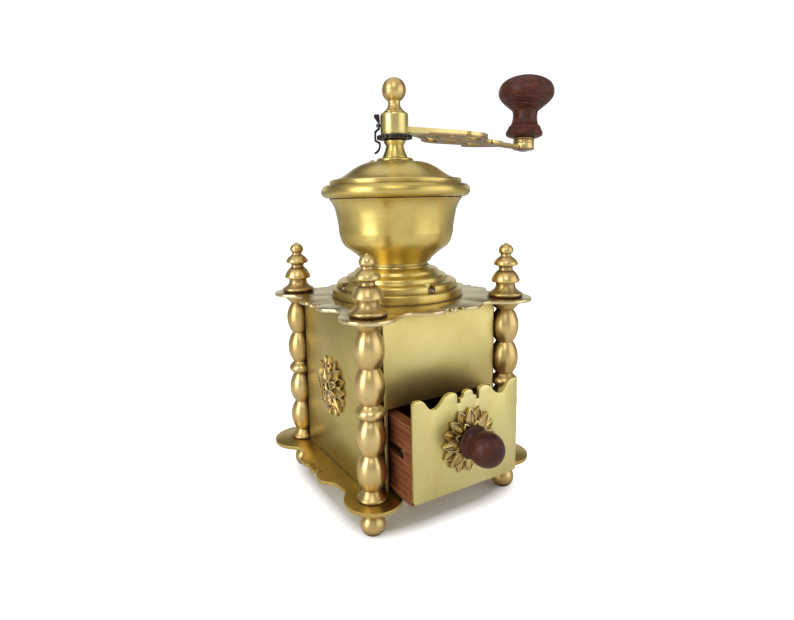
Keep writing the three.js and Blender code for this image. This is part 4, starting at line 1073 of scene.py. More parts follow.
class Finish(Enum):
    """Every finish of the grinder. Its material is made when the first piece wears it."""

    PANEL = Brass(
        "Side panel brass", (0.66, 0.56, 0.22, 1), (0.52, 0.42, 0.14, 1), grain=Grain.ALONG_Z,
        roughness=0.34
    )
    FRONT = Brass(
        "Front panel brass", (0.69, 0.6, 0.265, 1), (0.6, 0.49, 0.175, 1), grain=Grain.ALONG_Z,
        roughness=0.4, marks=0.03
    )
    DRAWER_FACE = Brass(
        "Drawer front brass", (0.76, 0.68, 0.31, 1), (0.66, 0.57, 0.22, 1), grain=Grain.ALONG_Z,
        roughness=0.32
    )
    TOP = Brass(
        "Top plate brass", (0.74, 0.63, 0.36, 1), (0.62, 0.5, 0.24, 1), bright=(0.82, 0.6, 0.32, 1),
        grain=Grain.ALONG_X, roughness=0.26, marks=0.015, worn=0.6
    )
    BASE = Brass(
        "Base plate brass", (0.68, 0.52, 0.17, 1), (0.48, 0.33, 0.09, 1), grain=Grain.ALONG_X,
        roughness=0.3, marks=0.02, worn=0.35
    )
    TURNED = Brass(
        "Turned column brass", (0.75, 0.575, 0.265, 1), (0.58, 0.405, 0.145, 1), grain=Grain.ROUND_Z,
        roughness=0.34, drawn_out=0.5, grime_and_shade=(0.15, 0.07, 0.025, 1), soiled_and_shaded=1.7, reach=0.007
    )
    SPUN = Brass(
        "Spun hopper brass", (0.75, 0.6, 0.215, 1), (0.57, 0.42, 0.11, 1), grain=Grain.ROUND_Z,
        roughness=0.32, drawn_out=0.6, soiled_and_shaded=1.0, reach=0.0026
    )
    CAST = Brass(
        "Cast rosette brass", (0.74, 0.58, 0.24, 1), (0.5, 0.34, 0.1, 1), grime_and_shade=(0.13, 0.065, 0.02, 1),
        roughness=0.3, worn=0.9, soiled_and_shaded=1.0, reach=0.0016, pitted=0.4
    )
    # The arm's underside gets painted shade below its tilted plane.
    ARM = Brass(
        "Crank arm brass", (0.78, 0.66, 0.3, 1), (0.6, 0.47, 0.17, 1), grain=Grain.ALONG_X, roughness=0.32,
        soiled_and_shaded=0.9, painted_shade_plane=(0.2144, 5.4, 2.9)
    )
    KNOB = Timber(
        "Crank knob wood", (0.165, 0.043, 0.024, 1), (0.016, 0.006, 0.004, 1), (0.22, 0.07, 0.04, 1),
        roughness=0.38, polish=0.15, grain=(1, 1, 1), centre=(-0.1245, -0.0126, 0.0), rings=130.0
    )
    DRAWER_KNOB = Timber(
        "Drawer knob wood", (0.1, 0.026, 0.016, 1), (0.016, 0.006, 0.005, 1), (0.2, 0.07, 0.035, 1),
        roughness=0.4, polish=0.12, grain=(1, 0.3, 1), rings=110.0
    )
    BOARD = Timber(
        "Drawer board wood", (0.34, 0.115, 0.042, 1), (0.075, 0.02, 0.009, 1), (0.46, 0.21, 0.09, 1),
        roughness=0.6, polish=0.0, grain=(1.0, 0.1, 1.0), centre=(0.03, 0.07, 0.0),
        turn=(math.pi / 2, 0, 0), rings=80.0, wear=0.9
    )
    RUNNER = Timber(
        "Drawer runner wood", (0.1, 0.045, 0.022, 1), (0.05, 0.02, 0.01, 1), (0.2, 0.1, 0.05, 1),
        roughness=0.6, polish=0.0, grain=(1.0, 0.1, 1.0)
    )
    STEEL = Iron("Bright steel", (0.56, 0.55, 0.53, 1), (0.36, 0.34, 0.32, 1), 0.32, rust=0.2)
    BLACK = Iron("Black steel", (0.05, 0.042, 0.038, 1), (0.02, 0.016, 0.014, 1), 0.42, metallic=0.9)
    AGED = Iron("Aged steel", (0.3, 0.25, 0.18, 1), (0.12, 0.09, 0.06, 1), 0.4, rust=0.4)
    IRON = Iron(
        "Cast iron", (0.16, 0.155, 0.15, 1), (0.07, 0.06, 0.055, 1), 0.55, grain=Grain.EVEN, pitted=1.0,
        rust=0.4
    )

    @cached_property
    def material(self) -> bpy.types.Material:
        """The finish's one material."""
        return self.value.material()


# Sub-assemblies


@dataclass
class EdgeMotif:
    """The wavy edge that the plates and the drawer front share, cut into half a side."""

    bump_half: float = 3.3
    shoulder_end: float = 5.8
    shoulder_depth: float = 4.3
    slit_end: float = 8.0
    slit_depth: float = 6.8
    broad_peak: float = 12.8
    valley_at: float = 24.0
    valley_depth: float = 7.0

    def half(self, bump: float, edge: float, slit: float) -> Line:
        """The right half, from the middle out to the valley, below a crest at 0.

        Args:
            bump: how far the middle bump is stretched sideways.
            edge: how far the rest is stretched sideways.
            slit: depth of the narrow slit.

        Returns:
            The line.
        """
        line = Line(0, -0.3, 7)
        line.curve(self.bump_half * bump, -0.3, self.bump_half * bump, -self.shoulder_depth * 0.7)
        line.to((self.bump_half + 0.6) * bump, -self.shoulder_depth)
        line.to(self.shoulder_end * bump, -self.shoulder_depth, self.shoulder_end * bump, -slit)
        line.to(self.slit_end * bump, -slit, self.slit_end * bump, -2.2)
        peak, valley = self.broad_peak * edge, self.valley_at * edge
        line.sweep(self.slit_end * bump + 0.6, 0, peak - 2.5, 0, peak, 0)
        line.sweep(peak + 5, 0, valley - 5.5, -self.valley_depth, valley, -self.valley_depth)
        return line


@dataclass
class Lobe:
    """The round corner of a plate under or over a column."""

    radius: float = 16.2
    shift: Pair = (0.0, 0.0)


@dataclass
class Plates:
    """The scalloped base and top plates."""

    motif: EdgeMotif = field(default_factory=EdgeMotif)
    base_crest: float = 67.2
    top_crest: float = 63.4
    bump_stretch: float = 0.74
    edge_stretch: float = 1.15
    burr_opening: float = 24.3
    base_lobes: tuple[Lobe, ...] = (
        Lobe(17.4, (-3.8, -0.4)), Lobe(17.0, (0.8, 0.3)), Lobe(16.6, (1.7, 2.6)), Lobe(17.2)
    )
    top_lobes: tuple[Lobe, ...] = (Lobe(), Lobe(), Lobe(), Lobe())

    def side(self, crest: float, radius: float, middle: Vector) -> Line:
        """Half a side of a plate, from its middle to the lobe.

        Args:
            crest: how far the side stands from the plate's middle.
            radius: the lobe's radius.
            middle: the lobe's middle.

        Returns:
            The line.
        """
        joint = middle + Vector((radius, 0)) @ Matrix.Rotation(math.radians(-135), 2)
        line = self.motif.half(self.bump_stretch, self.edge_stretch, self.motif.shoulder_depth + 1.2)
        valley, drop = self.motif.valley_at * self.edge_stretch, joint.y - crest
        line.sweep(valley + 4.5, -self.motif.valley_depth, joint.x - 2.4, drop - 2.4, joint.x, drop)
        return line.moved(lambda x, y: (x, y + crest))

    def outline(self, crest: float, lobes: Sequence[Lobe]) -> Line:
        """The whole plate in plan.

        Args:
            crest: how far each side stands from the middle.
            lobes: the four corners, from rear left round by the front.

        Returns:
            The closed outline.
        """
        whole = Line.through(())
        pitch = STACK.pitch
        for turn, lobe in enumerate(lobes):
            before = lobes[(turn + 3) % 4]
            home = Matrix.Rotation(-turn * QUARTER, 2)
            right_middle = Vector((pitch, pitch)) + home @ Vector(before.shift)
            left_middle = Vector((-pitch, pitch)) + home @ Vector(lobe.shift)
            right = self.side(crest, before.radius, right_middle).points[::-1]
            left = self.side(crest, lobe.radius, Vector((-left_middle.x, left_middle.y))).points[1:]
            arc = Line(0, 0).arc(left_middle.x, left_middle.y, lobe.radius, 45, 225, 28).points[2:-1]
            out = Matrix.Rotation(turn * QUARTER, 2)
            places = [*right, *((-x, y) for x, y in left), *arc]
            whole.points += [tuple(out @ Vector(place)) for place in places]
        return whole.softened(0.35, closed=True)

    def build(self) -> None:
        """Cut both plates."""
        base = Blank.sheet(self.outline(self.base_crest, self.base_lobes), 0, STACK.base_top, edge=0.35)
        base.shown("base_sheet", Finish.BASE, Body.CASE, Slot.SHEET, "base_plate")
        holes = [circle(self.burr_opening, steps=64)]
        outline = self.outline(self.top_crest, self.top_lobes)
        top = Blank.sheet(outline, STACK.case_top, STACK.plate_top, holes, edge=0.35)
        top.shown("top_sheet", Finish.TOP, Body.CASE, Slot.SHEET, "top_plate")


@dataclass
class CasePanels:
    """Four folded sheet panels, the front one open for the drawer."""

    face: float = 49.7
    wall: float = 1.6
    half_width: float = 40.8
    opening_strip: float = 2.3
    opening_height: float = 50.4

    def folded(self, return_end: float) -> Blank:
        """One panel facing +Y, with its two returned edges.

        Args:
            return_end: how far back the returns reach.

        Returns:
            The blank.
        """
        w, f, t = self.half_width, self.face, self.wall
        plan = Line(-w, return_end).to(-w + t, return_end, -w + t, f - t, w - t, f - t, w - t, return_end)
        plan.to(w, return_end, w, f, -w, f)
        return Blank.sheet(plan.softened(0.7, closed=True), STACK.base_top, STACK.case_top, edge=0.2)

    def opened(self) -> Blank:
        """The front panel, facing -Y, cut away for the drawer.

        Returns:
            The blank.
        """
        w, f, t = self.half_width, self.face, self.wall
        low, high = STACK.base_top, STACK.case_top
        inside, lintel = w - self.opening_strip, low + self.opening_height
        web = Line(-w, low).to(
            -inside, low, -inside, lintel, inside, lintel, inside, low, w, low, w, high, -w, high
        )
        sheet = Blank.sheet(web.softened(0.4, closed=True), 0, t, edge=0.3)
        sheet.moved(Matrix.Translation((0, -f + t, 0)) @ turn_about("X", 90))
        for side in (-1, 1):
            a, b = sorted((side * w, side * (w - t)))
            sheet.joined(
                Blank.bar((a + 0.02, -f + t - 0.4, low + 0.01), (b - 0.02, -w + t, high - 0.01), 0.2)
            )
        return sheet

    def build(self) -> None:
        """Fold the panels."""
        w = self.half_width
        self.opened().shown("front_sheet", Finish.FRONT, Body.CASE, Slot.SHEET, "front_panel")
        self.folded(w - self.wall).shown("rear_sheet", Finish.FRONT, Body.CASE, Slot.SHEET, "rear_panel")
        for name, degrees in (("left", 90), ("right", -90)):
            sheet = self.folded(w).moved(turn_about("Z", degrees))
            sheet.shown(f"{name}_sheet", Finish.PANEL, Body.CASE, Slot.SHEET, f"{name}_panel")


@dataclass
class Columns:
    """The four turned columns with their finials and ball feet."""

    height: float = 104.5
    tie_hole: float = 2.2
    barrel_radius: float = 8.7
    barrel_neck: float = 5.3
    flare: float = 8.9
    flare_height: float = 6.0
    ring_radius: float = 8.7
    ring_height: float = 8.6
    collar: float = 8.8
    collar_height: float = 6.2
    rim: float = 10.8
    lower_bell: float = 8.8
    upper_bell: float = 7.5
    bead: float = 4.5
    foot_height: float = 20.3
    foot_ball: float = 7.4
    foot_flat: float = 2.6
    foot_neck: float = 4.4
    foot_collar: float = 6.4

    def column(self) -> Line:
        """The profile of a column: two pairs of barrels about a ring.

        Returns:
            The profile.
        """
        neck, hole, top = self.barrel_neck, self.tie_hole, self.height
        length = (top - self.flare_height - self.ring_height - self.collar_height) / 4
        reach = neck + (self.barrel_radius - neck) * 4 / 3
        line = Line(hole, 0, 12).to(self.flare - 0.5, 0, self.flare, 0.8, self.flare - 0.3, 1.8)
        line.curve(neck + 1.2, self.flare_height * 0.6, neck, self.flare_height)
        height = self.flare_height
        for pair in (0, 1):
            for _ in (0, 1):
                line.sweep(
                    reach, height + length * 0.27, reach, height + length * 0.73, neck, height + length
                )
                height += length
            if pair == 0:
                ring, rise = self.ring_radius, self.ring_height
                line.to(ring - 0.9, height + rise * 0.22)
                line.curve(ring + 0.9, height + rise * 0.46, ring - 1.2, height + rise * 0.74)
                line.to(neck + 1.4, height + rise * 0.8, neck, height + rise)
                height += rise
        line.curve(
            self.collar - 1.6, height + self.collar_height * 0.3, self.collar,
            height + self.collar_height * 0.62
        )
        line.to(self.collar, top - 0.5, self.collar - 0.5, top, hole, top, hole, 0)
        return line.softened(0.3)

    def finial(self) -> Line:
        """The profile of a finial: a rim, two bells and a bead.

        Returns:
            The profile.
        """
        hole, rim, lower, upper, bead = self.tie_hole, self.rim, self.lower_bell, self.upper_bell, self.bead
        line = Line(hole, 0).to(rim - 1.4, 0, rim - 1.2, 0.5)
        line.sweep(rim + 0.2, 0.7, rim + 0.2, 2.7, rim - 0.5, 3.0).sweep(8.6, 3.7, 6.6, 5.0, 6.0, 7.2)
        line.to(5.95, 9.3, lower - 0.5, 9.7).curve(lower + 0.1, 10.0, lower, 11.1)
        line.sweep(lower - 0.5, 13.4, lower - 2.2, 16.0, 4.4, 17.1).to(4.3, 18.9)
        line.curve(4.6, 19.8, upper - 0.4, 20.3).curve(upper + 0.2, 20.8, upper - 0.2, 22.3)
        line.sweep(upper - 1.2, 24.2, 4.2, 25.2, 3.3, 26.1).to(3.15, 27.2)
        line.sweep(bead - 0.3, 27.7, bead + 0.35, 29.0, bead, 30.3)
        line.sweep(bead - 0.3, 31.8, 3.0, 33.0, 1.3, 33.3)
        line.to(1.1, 33.9, 0.6, 34.2, 0, 34.3)
        line.to(0, 12, hole, 12, hole, 0)
        return line.softened(0.35)

    def foot(self) -> Line:
        """The profile of a ball foot.

        Returns:
            The profile.
        """
        hole, ball, flat, neck = self.tie_hole, self.foot_ball, self.foot_flat, self.foot_neck
        centre = -self.foot_height + math.sqrt(ball**2 - flat**2)
        start, end = -math.degrees(math.acos(flat / ball)), math.degrees(math.acos(neck / ball))
        line = Line(0, -self.foot_height).to(flat, -self.foot_height).arc(0, centre, ball, start, end, 20)
        line.to(neck, -2.6, self.foot_collar, -1.8, self.foot_collar, 0, hole, 0, hole, -13, 0, -13)
        return line.softened(0.3)

    def build(self) -> None:
        """Turn the columns, finials and feet."""
        shapes = (
            ("column", self.column(), STACK.base_top),
            ("finial", self.finial(), STACK.plate_top),
            ("foot", self.foot(), 0.0),
        )
        for kind, line, level in shapes:
            model = Blank.turned(line, Facets.COLUMN)
            for corner, (sx, sy) in CORNERS.items():
                piece = model.copied().shifted(sx * STACK.pitch, sy * STACK.pitch, level)
                piece.shown(
                    f"turned_{kind}_{corner}", Finish.TURNED, Body.CASE, Slot.TURNED, f"{kind}_{corner}"
                )


@dataclass(frozen=True)
class Petals:
    """One ring of petals: its first angle, its radii, and a petal's half width, heights and droop."""

    start: float
    inner: float
    outer: float
    half_width: float
    foot: float
    crown: float
    sag: float


@dataclass
class Rosette:
    """A cast rosette: two layers of veined petals, an inner ring and a button."""

    radius: float = 19.6
    petals: int = 8
    button: float = 5.6

    def petal(self, ring: Petals) -> Blank:
        """One pointed petal with a raised rim and a vein, along +X.

        Args:
            ring: the ring that it belongs to.

        Returns:
            The blank.
        """
        inner, outer, half_width = ring.inner, ring.outer, ring.half_width
        foot, crown, sag = ring.foot, ring.crown, ring.sag
        length = outer - inner
        half = Line(inner, -half_width * 0.45, 6)
        half.sweep(inner + length * 0.3, -half_width * 1.25, inner + length * 0.7, -half_width, outer, 0)
        blank = Blank()
        bm = blank.bm
        rim = half.points + [(x, -y) for x, y in reversed(half.points[:-1])]
        face = bm.faces.new([bm.verts.new((x, y, foot)) for x, y in rim])
        raised = bmesh.ops.extrude_face_region(bm, geom=[face])
        top = verts_of(raised)
        lid = [item for item in raised["geom"] if isinstance(item, Face)]
        bmesh.ops.translate(bm, vec=(0, 0, crown - foot), verts=top)
        bmesh.ops.inset_region(
            bm, faces=lid, thickness=min(0.45, half_width * 0.2), depth=0, use_even_offset=True
        )
        bmesh.ops.inset_region(bm, faces=lid, thickness=0.3, depth=-1.0, use_even_offset=True)
        sunk = set(lid)
        for place in (0.0, half_width * 0.3, -half_width * 0.3):
            around = {part for face in sunk for part in (face, *face.edges, *face.verts)}
            cut = bmesh.ops.bisect_plane(
                bm, geom=list(around), dist=TOUCHING, plane_co=(0, place, 0), plane_no=(0, 1, 0)
            )
            sunk.update(f for f in cut["geom"] if isinstance(f, Face))
            vein = [v for v in cut["geom_cut"] if isinstance(v, Vert)]
            if place == 0.0:
                bmesh.ops.translate(bm, vec=(0, 0, 0.95), verts=vein)
        bmesh.ops.recalc_face_normals(bm, faces=bm.faces[:])
        for vert in bm.verts:
            if vert.co.z > foot + 0.01:
                share = (vert.co.x - inner) / length
                vert.co.z = foot + (vert.co.z - foot) * (
                    1 - sag * share * share
                ) + 0.2 * math.sin(share * math.pi)
        return blank

    def blank(self, hole: float) -> Blank:
        """The casting, with its back on z = 0.

        Args:
            hole: radius of the hole through its middle.

        Returns:
            The blank.
        """
        step = 180 / self.petals
        rings = (
            Petals(step, 7.5, self.radius, 4.0, 0.0, 1.9, 0.3),
            Petals(0, 6.5, self.radius - 0.4, 3.9, 0.15, 3.1, 0.35),
            Petals(step, 4.2, 12.2, 2.7, 0.5, 4.2, 0.35),
        )
        whole = Blank()
        for ring in rings:
            for i in range(self.petals):
                whole.joined(self.petal(ring).moved(turn_about("Z", ring.start + i * 2 * step)))
        bed = Line(hole, 0.05).to(12.4, 0.05, 12.4, 0.7, 8, 1.6).to(hole, 1.7, hole, 0.05)
        button = Line(hole, 0.6).to(self.button, 0.6, self.button, 2.6).curve(
            self.button - 0.4, 3.55, self.button - 1.8, 3.5
        )
        button.to(hole + 1.0, 3.0, hole, 3.0, hole, 0.6)
        return whole.joined(
            Blank.turned(bed, Facets.CASTING), Blank.turned(button.softened(0.2), Facets.CASTING)
        )


@dataclass
class Ornaments:
    """The two rosettes on the sides of the case, with their nails."""

    rosette: Rosette = field(default_factory=Rosette)
    face: float = 49.7
    height: float = 54.45
    nail_at: float = 13.4

    def nail(self) -> Blank:
        """A small round nail head, facing +Z."""
        line = Line(0, 0).to(1.0, 0, 1.0, 0.5).curve(0.8, 1.05, 0, 1.1)
        return Blank.turned(line, Facets.NAIL)

    def build(self) -> None:
        """Cast and pin both rosettes."""
        for name, side in (("left", -1), ("right", 1)):
            home = Matrix.Translation((side * self.face, 0, self.height))
            place = home @ turn_about("Z", side * 90) @ turn_about("X", 90)
            casting = self.rosette.blank(2.4).moved(place)
            casting.shown(
                f"{name}_casting", Finish.CAST, Body.CASE, Slot.CAST, f"{name}_rosette", crease=CAST_CREASE
            )
            heads = Blank()
            middle = Line(0, 0.2).to(2.3, 0.2, 2.3, 1.6).curve(1.4, 2.6, 0, 2.7)
            heads.joined(Blank.turned(middle, Facets.BOLT))
            for up in (-1, 1):
                heads.joined(self.nail().shifted(0, up * self.nail_at, 1.9))
            heads.moved(place).shown(f"{name}_rosette_nails", Finish.BLACK, Body.CASE, Slot.BLACK_STEEL)


@dataclass
class Hopper:
    """The plinth, the stepped base with its screws, and the spun bowl."""

    plinth_radius: float = 42.8
    plinth_bore: float = 28.5
    band: float = 39.5
    middle: float = 32.9
    upper: float = 27.8
    rise: float = 14.3
    throat: float = 17.6
    neck: float = 20.6
    neck_height: float = 2.5
    lip: float = 22.6
    belly: float = 36.3
    shoulder: float = 38.4
    mouth: float = 43.2
    height: float = 41.2
    wall: float = 1.5
    bead_centre: float = 43.9
    bead: float = 4.1
    lid_radius: float = 42.4
    rebate: float = 1.6
    ledge: float = 2.4
    screw_circle: float = 38.4
    notch_back: float = 35.0
    notch_floor: float = 1.2
    screw_head: float = 2.6

    def steps(self) -> Blank:
        """The stepped base, with a notch cut for each screw.

        Returns:
            The blank.
        """
        band, mid, upper, neck, rise = self.band, self.middle, self.upper, self.neck, self.rise
        line = Line(self.throat, 0).to(band, 0, band, self.notch_floor, band, 2.6)
        line.curve(band, 4.8, band - 2.6, 5.0).to(self.notch_back, 5.08, mid + 0.5, 5.2, mid, 6.2)
        line.curve(mid, 8.3, mid - 2.2, 8.6).curve(upper + 0.3, 9.0, upper, 10.4)
        line.curve(upper - 0.4, 12.4, neck + 3, 12.9).curve(neck + 1, 13.2, neck + 0.8, rise)
        line.to(self.throat, rise, self.throat, 0)
        blank = Blank.turned(line, Facets.CUT_THROUGH)
        bm = blank.bm
        half = 2.2 * 360 / Facets.CUT_THROUGH
        chosen = []
        for face in bm.faces:
            centre = face.calc_center_median()
            radius, angle = math.hypot(centre.x, centre.y), math.degrees(math.atan2(centre.y, centre.x))
            near = abs((angle + 45) % 90 - 45) < half
            if near and radius > self.notch_back and self.notch_floor < centre.z < 5.3:
                chosen.append(face)
        sunk = bmesh.ops.extrude_face_region(bm, geom=chosen)
        floor = verts_of(sunk)
        bmesh.ops.delete(bm, geom=chosen, context="FACES")
        for vert in floor:
            radius = math.hypot(vert.co.x, vert.co.y)
            share = (radius - self.notch_back) / (band - self.notch_back)
            low = vert.co.z < 3.2
            wanted = radius if low else self.notch_back + (band - self.notch_back) * max(share, 0) * 0.8
            back = self.notch_back if share < 0.35 and not low else wanted
            vert.co.x, vert.co.y = vert.co.x * back / radius, vert.co.y * back / radius
            if share > 0.02:
                vert.co.z = self.notch_floor
        bmesh.ops.recalc_face_normals(bm, faces=bm.faces[:])
        return blank

    def bowl(self) -> Line:
        """The profile of the bowl with its rolled rim.

        Returns:
            The profile.
        """
        lip, belly, shoulder, height = self.lip, self.belly, self.shoulder, self.height
        outer = Line(lip, 0.6, 12)
        outer.sweep(lip + 1.6, 3.4, lip + 6, 6.6, belly - 3.4, 9.6)
        outer.sweep(belly - 0.6, 12, belly, 15, belly + 0.9, 19)
        outer.sweep(shoulder - 1, 24, shoulder - 0.2, 28, shoulder + 0.4, 31.5)
        outer.curve(shoulder + 1.6, 37.5, self.mouth, height - 0.6)
        inner = outer.beside(self.wall).points[::-1]
        seat, top = self.lid_radius + 0.3, height + 2 * self.bead
        line = Line(self.throat, -self.neck_height).to(
            self.neck, -self.neck_height, self.neck, -0.3, lip - 0.4, 0
        )
        line.points += outer.points
        line.to(self.bead_centre - 1.6, height)
        line.arc(self.bead_centre, height + self.bead, self.bead, -90, 90, 20)
        line.to(seat, top, seat, top - self.rebate, seat - self.ledge, top - self.rebate)
        line.points += inner
        line.to(self.throat, 3, self.throat, -self.neck_height)
        return line.softened(0.25)

    def screw(self) -> Blank:
        """A slotted screw head with its shank, standing on z = 0.

        Returns:
            The blank.
        """
        head = self.screw_head
        line = Line(0, -4).to(1.6, -4, 1.6, 0, head, 0, head, 1.1)
        line.curve(head, 1.8, head * 0.5, 1.9).to(0, 1.95)
        blank = Blank.turned(line, Facets.SCREW)
        bm = blank.bm
        for side in (-0.42, 0.42):
            bmesh.ops.bisect_plane(
                bm, geom=bm.verts[:] + bm.edges[:] + bm.faces[:], dist=WELDED, plane_co=(0, side, 0),
                plane_no=(0, 1, 0)
            )
        middles = [(f, f.calc_center_median()) for f in bm.faces]
        floor = [f for f, middle in middles if middle.z > 1.3 and abs(middle.y) < 0.4]
        sunk = bmesh.ops.extrude_face_region(bm, geom=floor)
        bmesh.ops.delete(bm, geom=floor, context="FACES")
        low = verts_of(sunk)
        bmesh.ops.translate(bm, vec=(0, 0, -0.6), verts=low)
        bmesh.ops.recalc_face_normals(bm, faces=bm.faces[:])
        return blank

    def build(self) -> None:
        """Spin the hopper and drive its screws."""
        spun = Finish.SPUN
        edge = self.plinth_radius
        height = STACK.plinth_top - STACK.plate_top
        plinth = Line(self.plinth_bore, 0).to(
            edge, 0, edge, height - 0.7, edge - 0.7, height, self.plinth_bore, height, self.plinth_bore, 0
        )
        blank = Blank.turned(plinth.softened(0.3), Facets.HOPPER).shifted(0, 0, STACK.plate_top)
        blank.shown("spun_plinth", spun, Body.CASE, Slot.SPUN, "hopper_plinth")
        steps = self.steps().shifted(0, 0, STACK.plinth_top)
        steps.shown("spun_steps", spun, Body.CASE, Slot.SPUN, "hopper_steps")
        bowl = Blank.turned(self.bowl(), Facets.HOPPER).shifted(0, 0, STACK.bowl_foot)
        bowl.shown("spun_bowl", spun, Body.CASE, Slot.SPUN, "hopper_bowl")
        model = self.screw()
        for i, side in enumerate(("right", "rear", "left", "front")):
            place = Matrix.Translation(
                (0, 0, STACK.plinth_top + self.notch_floor)
            ) @ turn_about("Z", i * 90)
            place = place @ Matrix.Translation((self.screw_circle, 0, 0)) @ turn_about("Z", 35 + 50 * i)
            model.copied().moved(place).shown(
                f"slotted_screw_{side}", Finish.AGED, Body.CASE, Slot.STEEL, f"hopper_screw_{side}"
            )


@dataclass
class Lid:
    """The domed lid with its filling window, the turning hatch and the spindle guard."""

    radius: float = 42.4
    flange_height: float = 4.7
    ledge: float = 2.4
    edge: float = 38.8
    rise: float = 11.3
    flat: float = 12.0
    wall: float = 1.2
    guard_shank: float = 5.4
    hatch_azimuth: float = 60.0
    window_angle: float = 84.0
    window_inner: float = 16.0
    window_outer: float = 34.0
    hatch_lap: float = 7.0
    hatch_wall: float = 1.0
    hatch_eye: float = 9.5
    spindle_bore: float = 4.1

    def dome_line(self) -> Line:
        """The outside of the dome, from its edge up to the guard.

        Returns:
            The line.
        """
        edge, rise, flat = self.edge, self.rise, self.flat
        line = Line(edge, 0.2, 10).curve(edge - 4, 1.6, edge - 7.6, rise * 0.37)
        line.sweep(edge - 13, rise * 0.72, edge - 18, rise * 0.96, flat + 3, rise - 0.2)
        line.to(flat - 1, rise, self.guard_shank + 0.2, rise)
        for radius in (self.window_outer, self.window_inner):
            places = [i for i, (x, _) in enumerate(line.points) if x > radius]
            (x0, y0), (x1, y1) = line.points[places[-1]], line.points[places[-1] + 1]
            height = y0 + (y1 - y0) * (radius - x0) / (x1 - x0)
            line.points.insert(places[-1] + 1, (radius, height))
        return line

    def pick(self, blank: Blank, inner: float, outer: float, middle: float, span: float) -> list[Face]:
        """Faces of a turned blank whose middles lie in a slice.

        Args:
            blank: the blank.
            inner: least radius.
            outer: greatest radius.
            middle: the slice's middle angle in degrees.
            span: the slice's width in degrees.

        Returns:
            The faces.
        """
        chosen = []
        for face in blank.bm.faces:
            centre = face.calc_center_median()
            radius, angle = math.hypot(centre.x, centre.y), math.degrees(math.atan2(centre.y, centre.x))
            if inner < radius < outer and abs((angle - middle + 180) % 360 - 180) < span / 2:
                chosen.append(face)
        return chosen

    def dome(self) -> Blank:
        """The lid, with its window cut through both skins.

        Returns:
            The blank.
        """
        outer = self.dome_line()
        inner = [(x, y - self.wall) for x, y in reversed(outer.points)]
        r, low = self.radius, -self.flange_height
        line = Line(r, low).to(r, -0.7, r - 0.7, 0)
        line.points += outer.points + inner
        line.to(r - self.ledge, -self.wall - 1, r - self.ledge, low, r, low)
        blank = Blank.turned(line, Facets.CUT_THROUGH)
        bm = blank.bm
        window = self.pick(
            blank, self.window_inner, self.window_outer, self.hatch_azimuth, self.window_angle
        )
        bmesh.ops.delete(bm, geom=window, context="FACES")
        rims = [e for e in bm.edges if e.is_boundary]
        bmesh.ops.bridge_loops(bm, edges=rims)
        bmesh.ops.recalc_face_normals(bm, faces=bm.faces[:])
        return blank

    def hatch(self) -> Blank:
        """The hatch leaf under the dome, its eye about the guard and its thumb knob.

        Returns:
            The blank.
        """
        clear = self.wall + 0.3
        line = self.dome_line().beside(clear)
        line.points = [
            (x, y) for x, y in line.points if self.guard_shank + 0.1 < x < self.window_outer + 3.5
        ]
        nearest = min(range(len(line.points)), key=lambda i: abs(line.points[i][0] - self.hatch_eye))
        height = line.points[nearest][1]
        line.points = [p for p in line.points if p[0] > self.hatch_eye + 0.4]
        line.to(self.hatch_eye, height, self.guard_shank + 0.1, height)
        blank = Blank.turned(line, Facets.CUT_THROUGH)
        spare = 360 - self.window_angle - 2 * self.hatch_lap
        cut = self.pick(blank, self.hatch_eye, 60, self.hatch_azimuth + 180, spare)
        bmesh.ops.delete(blank.bm, geom=cut, context="FACES")
        for face in blank.bm.faces:
            if face.normal.z < 0:
                face.normal_flip()
        bmesh.ops.solidify(blank.bm, geom=blank.bm.faces[:], thickness=self.hatch_wall)
        bmesh.ops.recalc_face_normals(blank.bm, faces=blank.bm.faces[:])
        angle = math.radians(self.hatch_azimuth + self.window_angle / 2 - 6)
        at, foot = (self.window_inner + self.window_outer) / 2, self.rise * 0.8 - clear
        knob = Line(0, -0.6).to(1.5, -0.6, 1.5, 1.8).curve(1.7, 2.4, 2.6, 3.0).curve(2.9, 6.0, 0, 6.5)
        return blank.joined(
            Blank.turned(knob, Facets.SCREW).shifted(at * math.cos(angle), at * math.sin(angle), foot)
        )

    def guard(self) -> Line:
        """The profile of the turned guard between lid and grind nut.

        Returns:
            The profile.
        """
        bore, lip = self.spindle_bore, self.wall + self.hatch_wall + 0.6
        line = Line(bore, -lip - 1.2, 10).to(self.hatch_eye - 2, -lip - 1.2, self.hatch_eye - 2, -lip)
        line.to(
            self.guard_shank, -lip, self.guard_shank, 0, 11.8, 0, 11.8, 1.4, 11.0, 2.0, 8.2, 2.0, 8.2, 2.9
        )
        line.curve(6.4, 6.18, 5.6, 9.89)
        line.to(6.8, 11.75, 7.0, 13.02, 6.5, 13.6, bore, 13.6, bore, -lip - 1.2)
        return line.softened(0.3)

    def build(self) -> None:
        """Spin the lid, hang the hatch and turn the guard."""
        spun = Finish.SPUN
        self.dome().shifted(0, 0, STACK.lid_top).shown("spun_dome", spun, Body.CASE, Slot.SPUN, "lid_dome")
        self.hatch().shifted(0, 0, STACK.lid_top).shown(
            "spun_hatch", spun, Body.HATCH, Slot.SPUN, "lid_hatch"
        )
        guard = Blank.turned(self.guard()).shifted(0, 0, STACK.dome_top)
        guard.shown("turned_guard", spun, Body.CASE, Slot.TURNED, "spindle_guard")


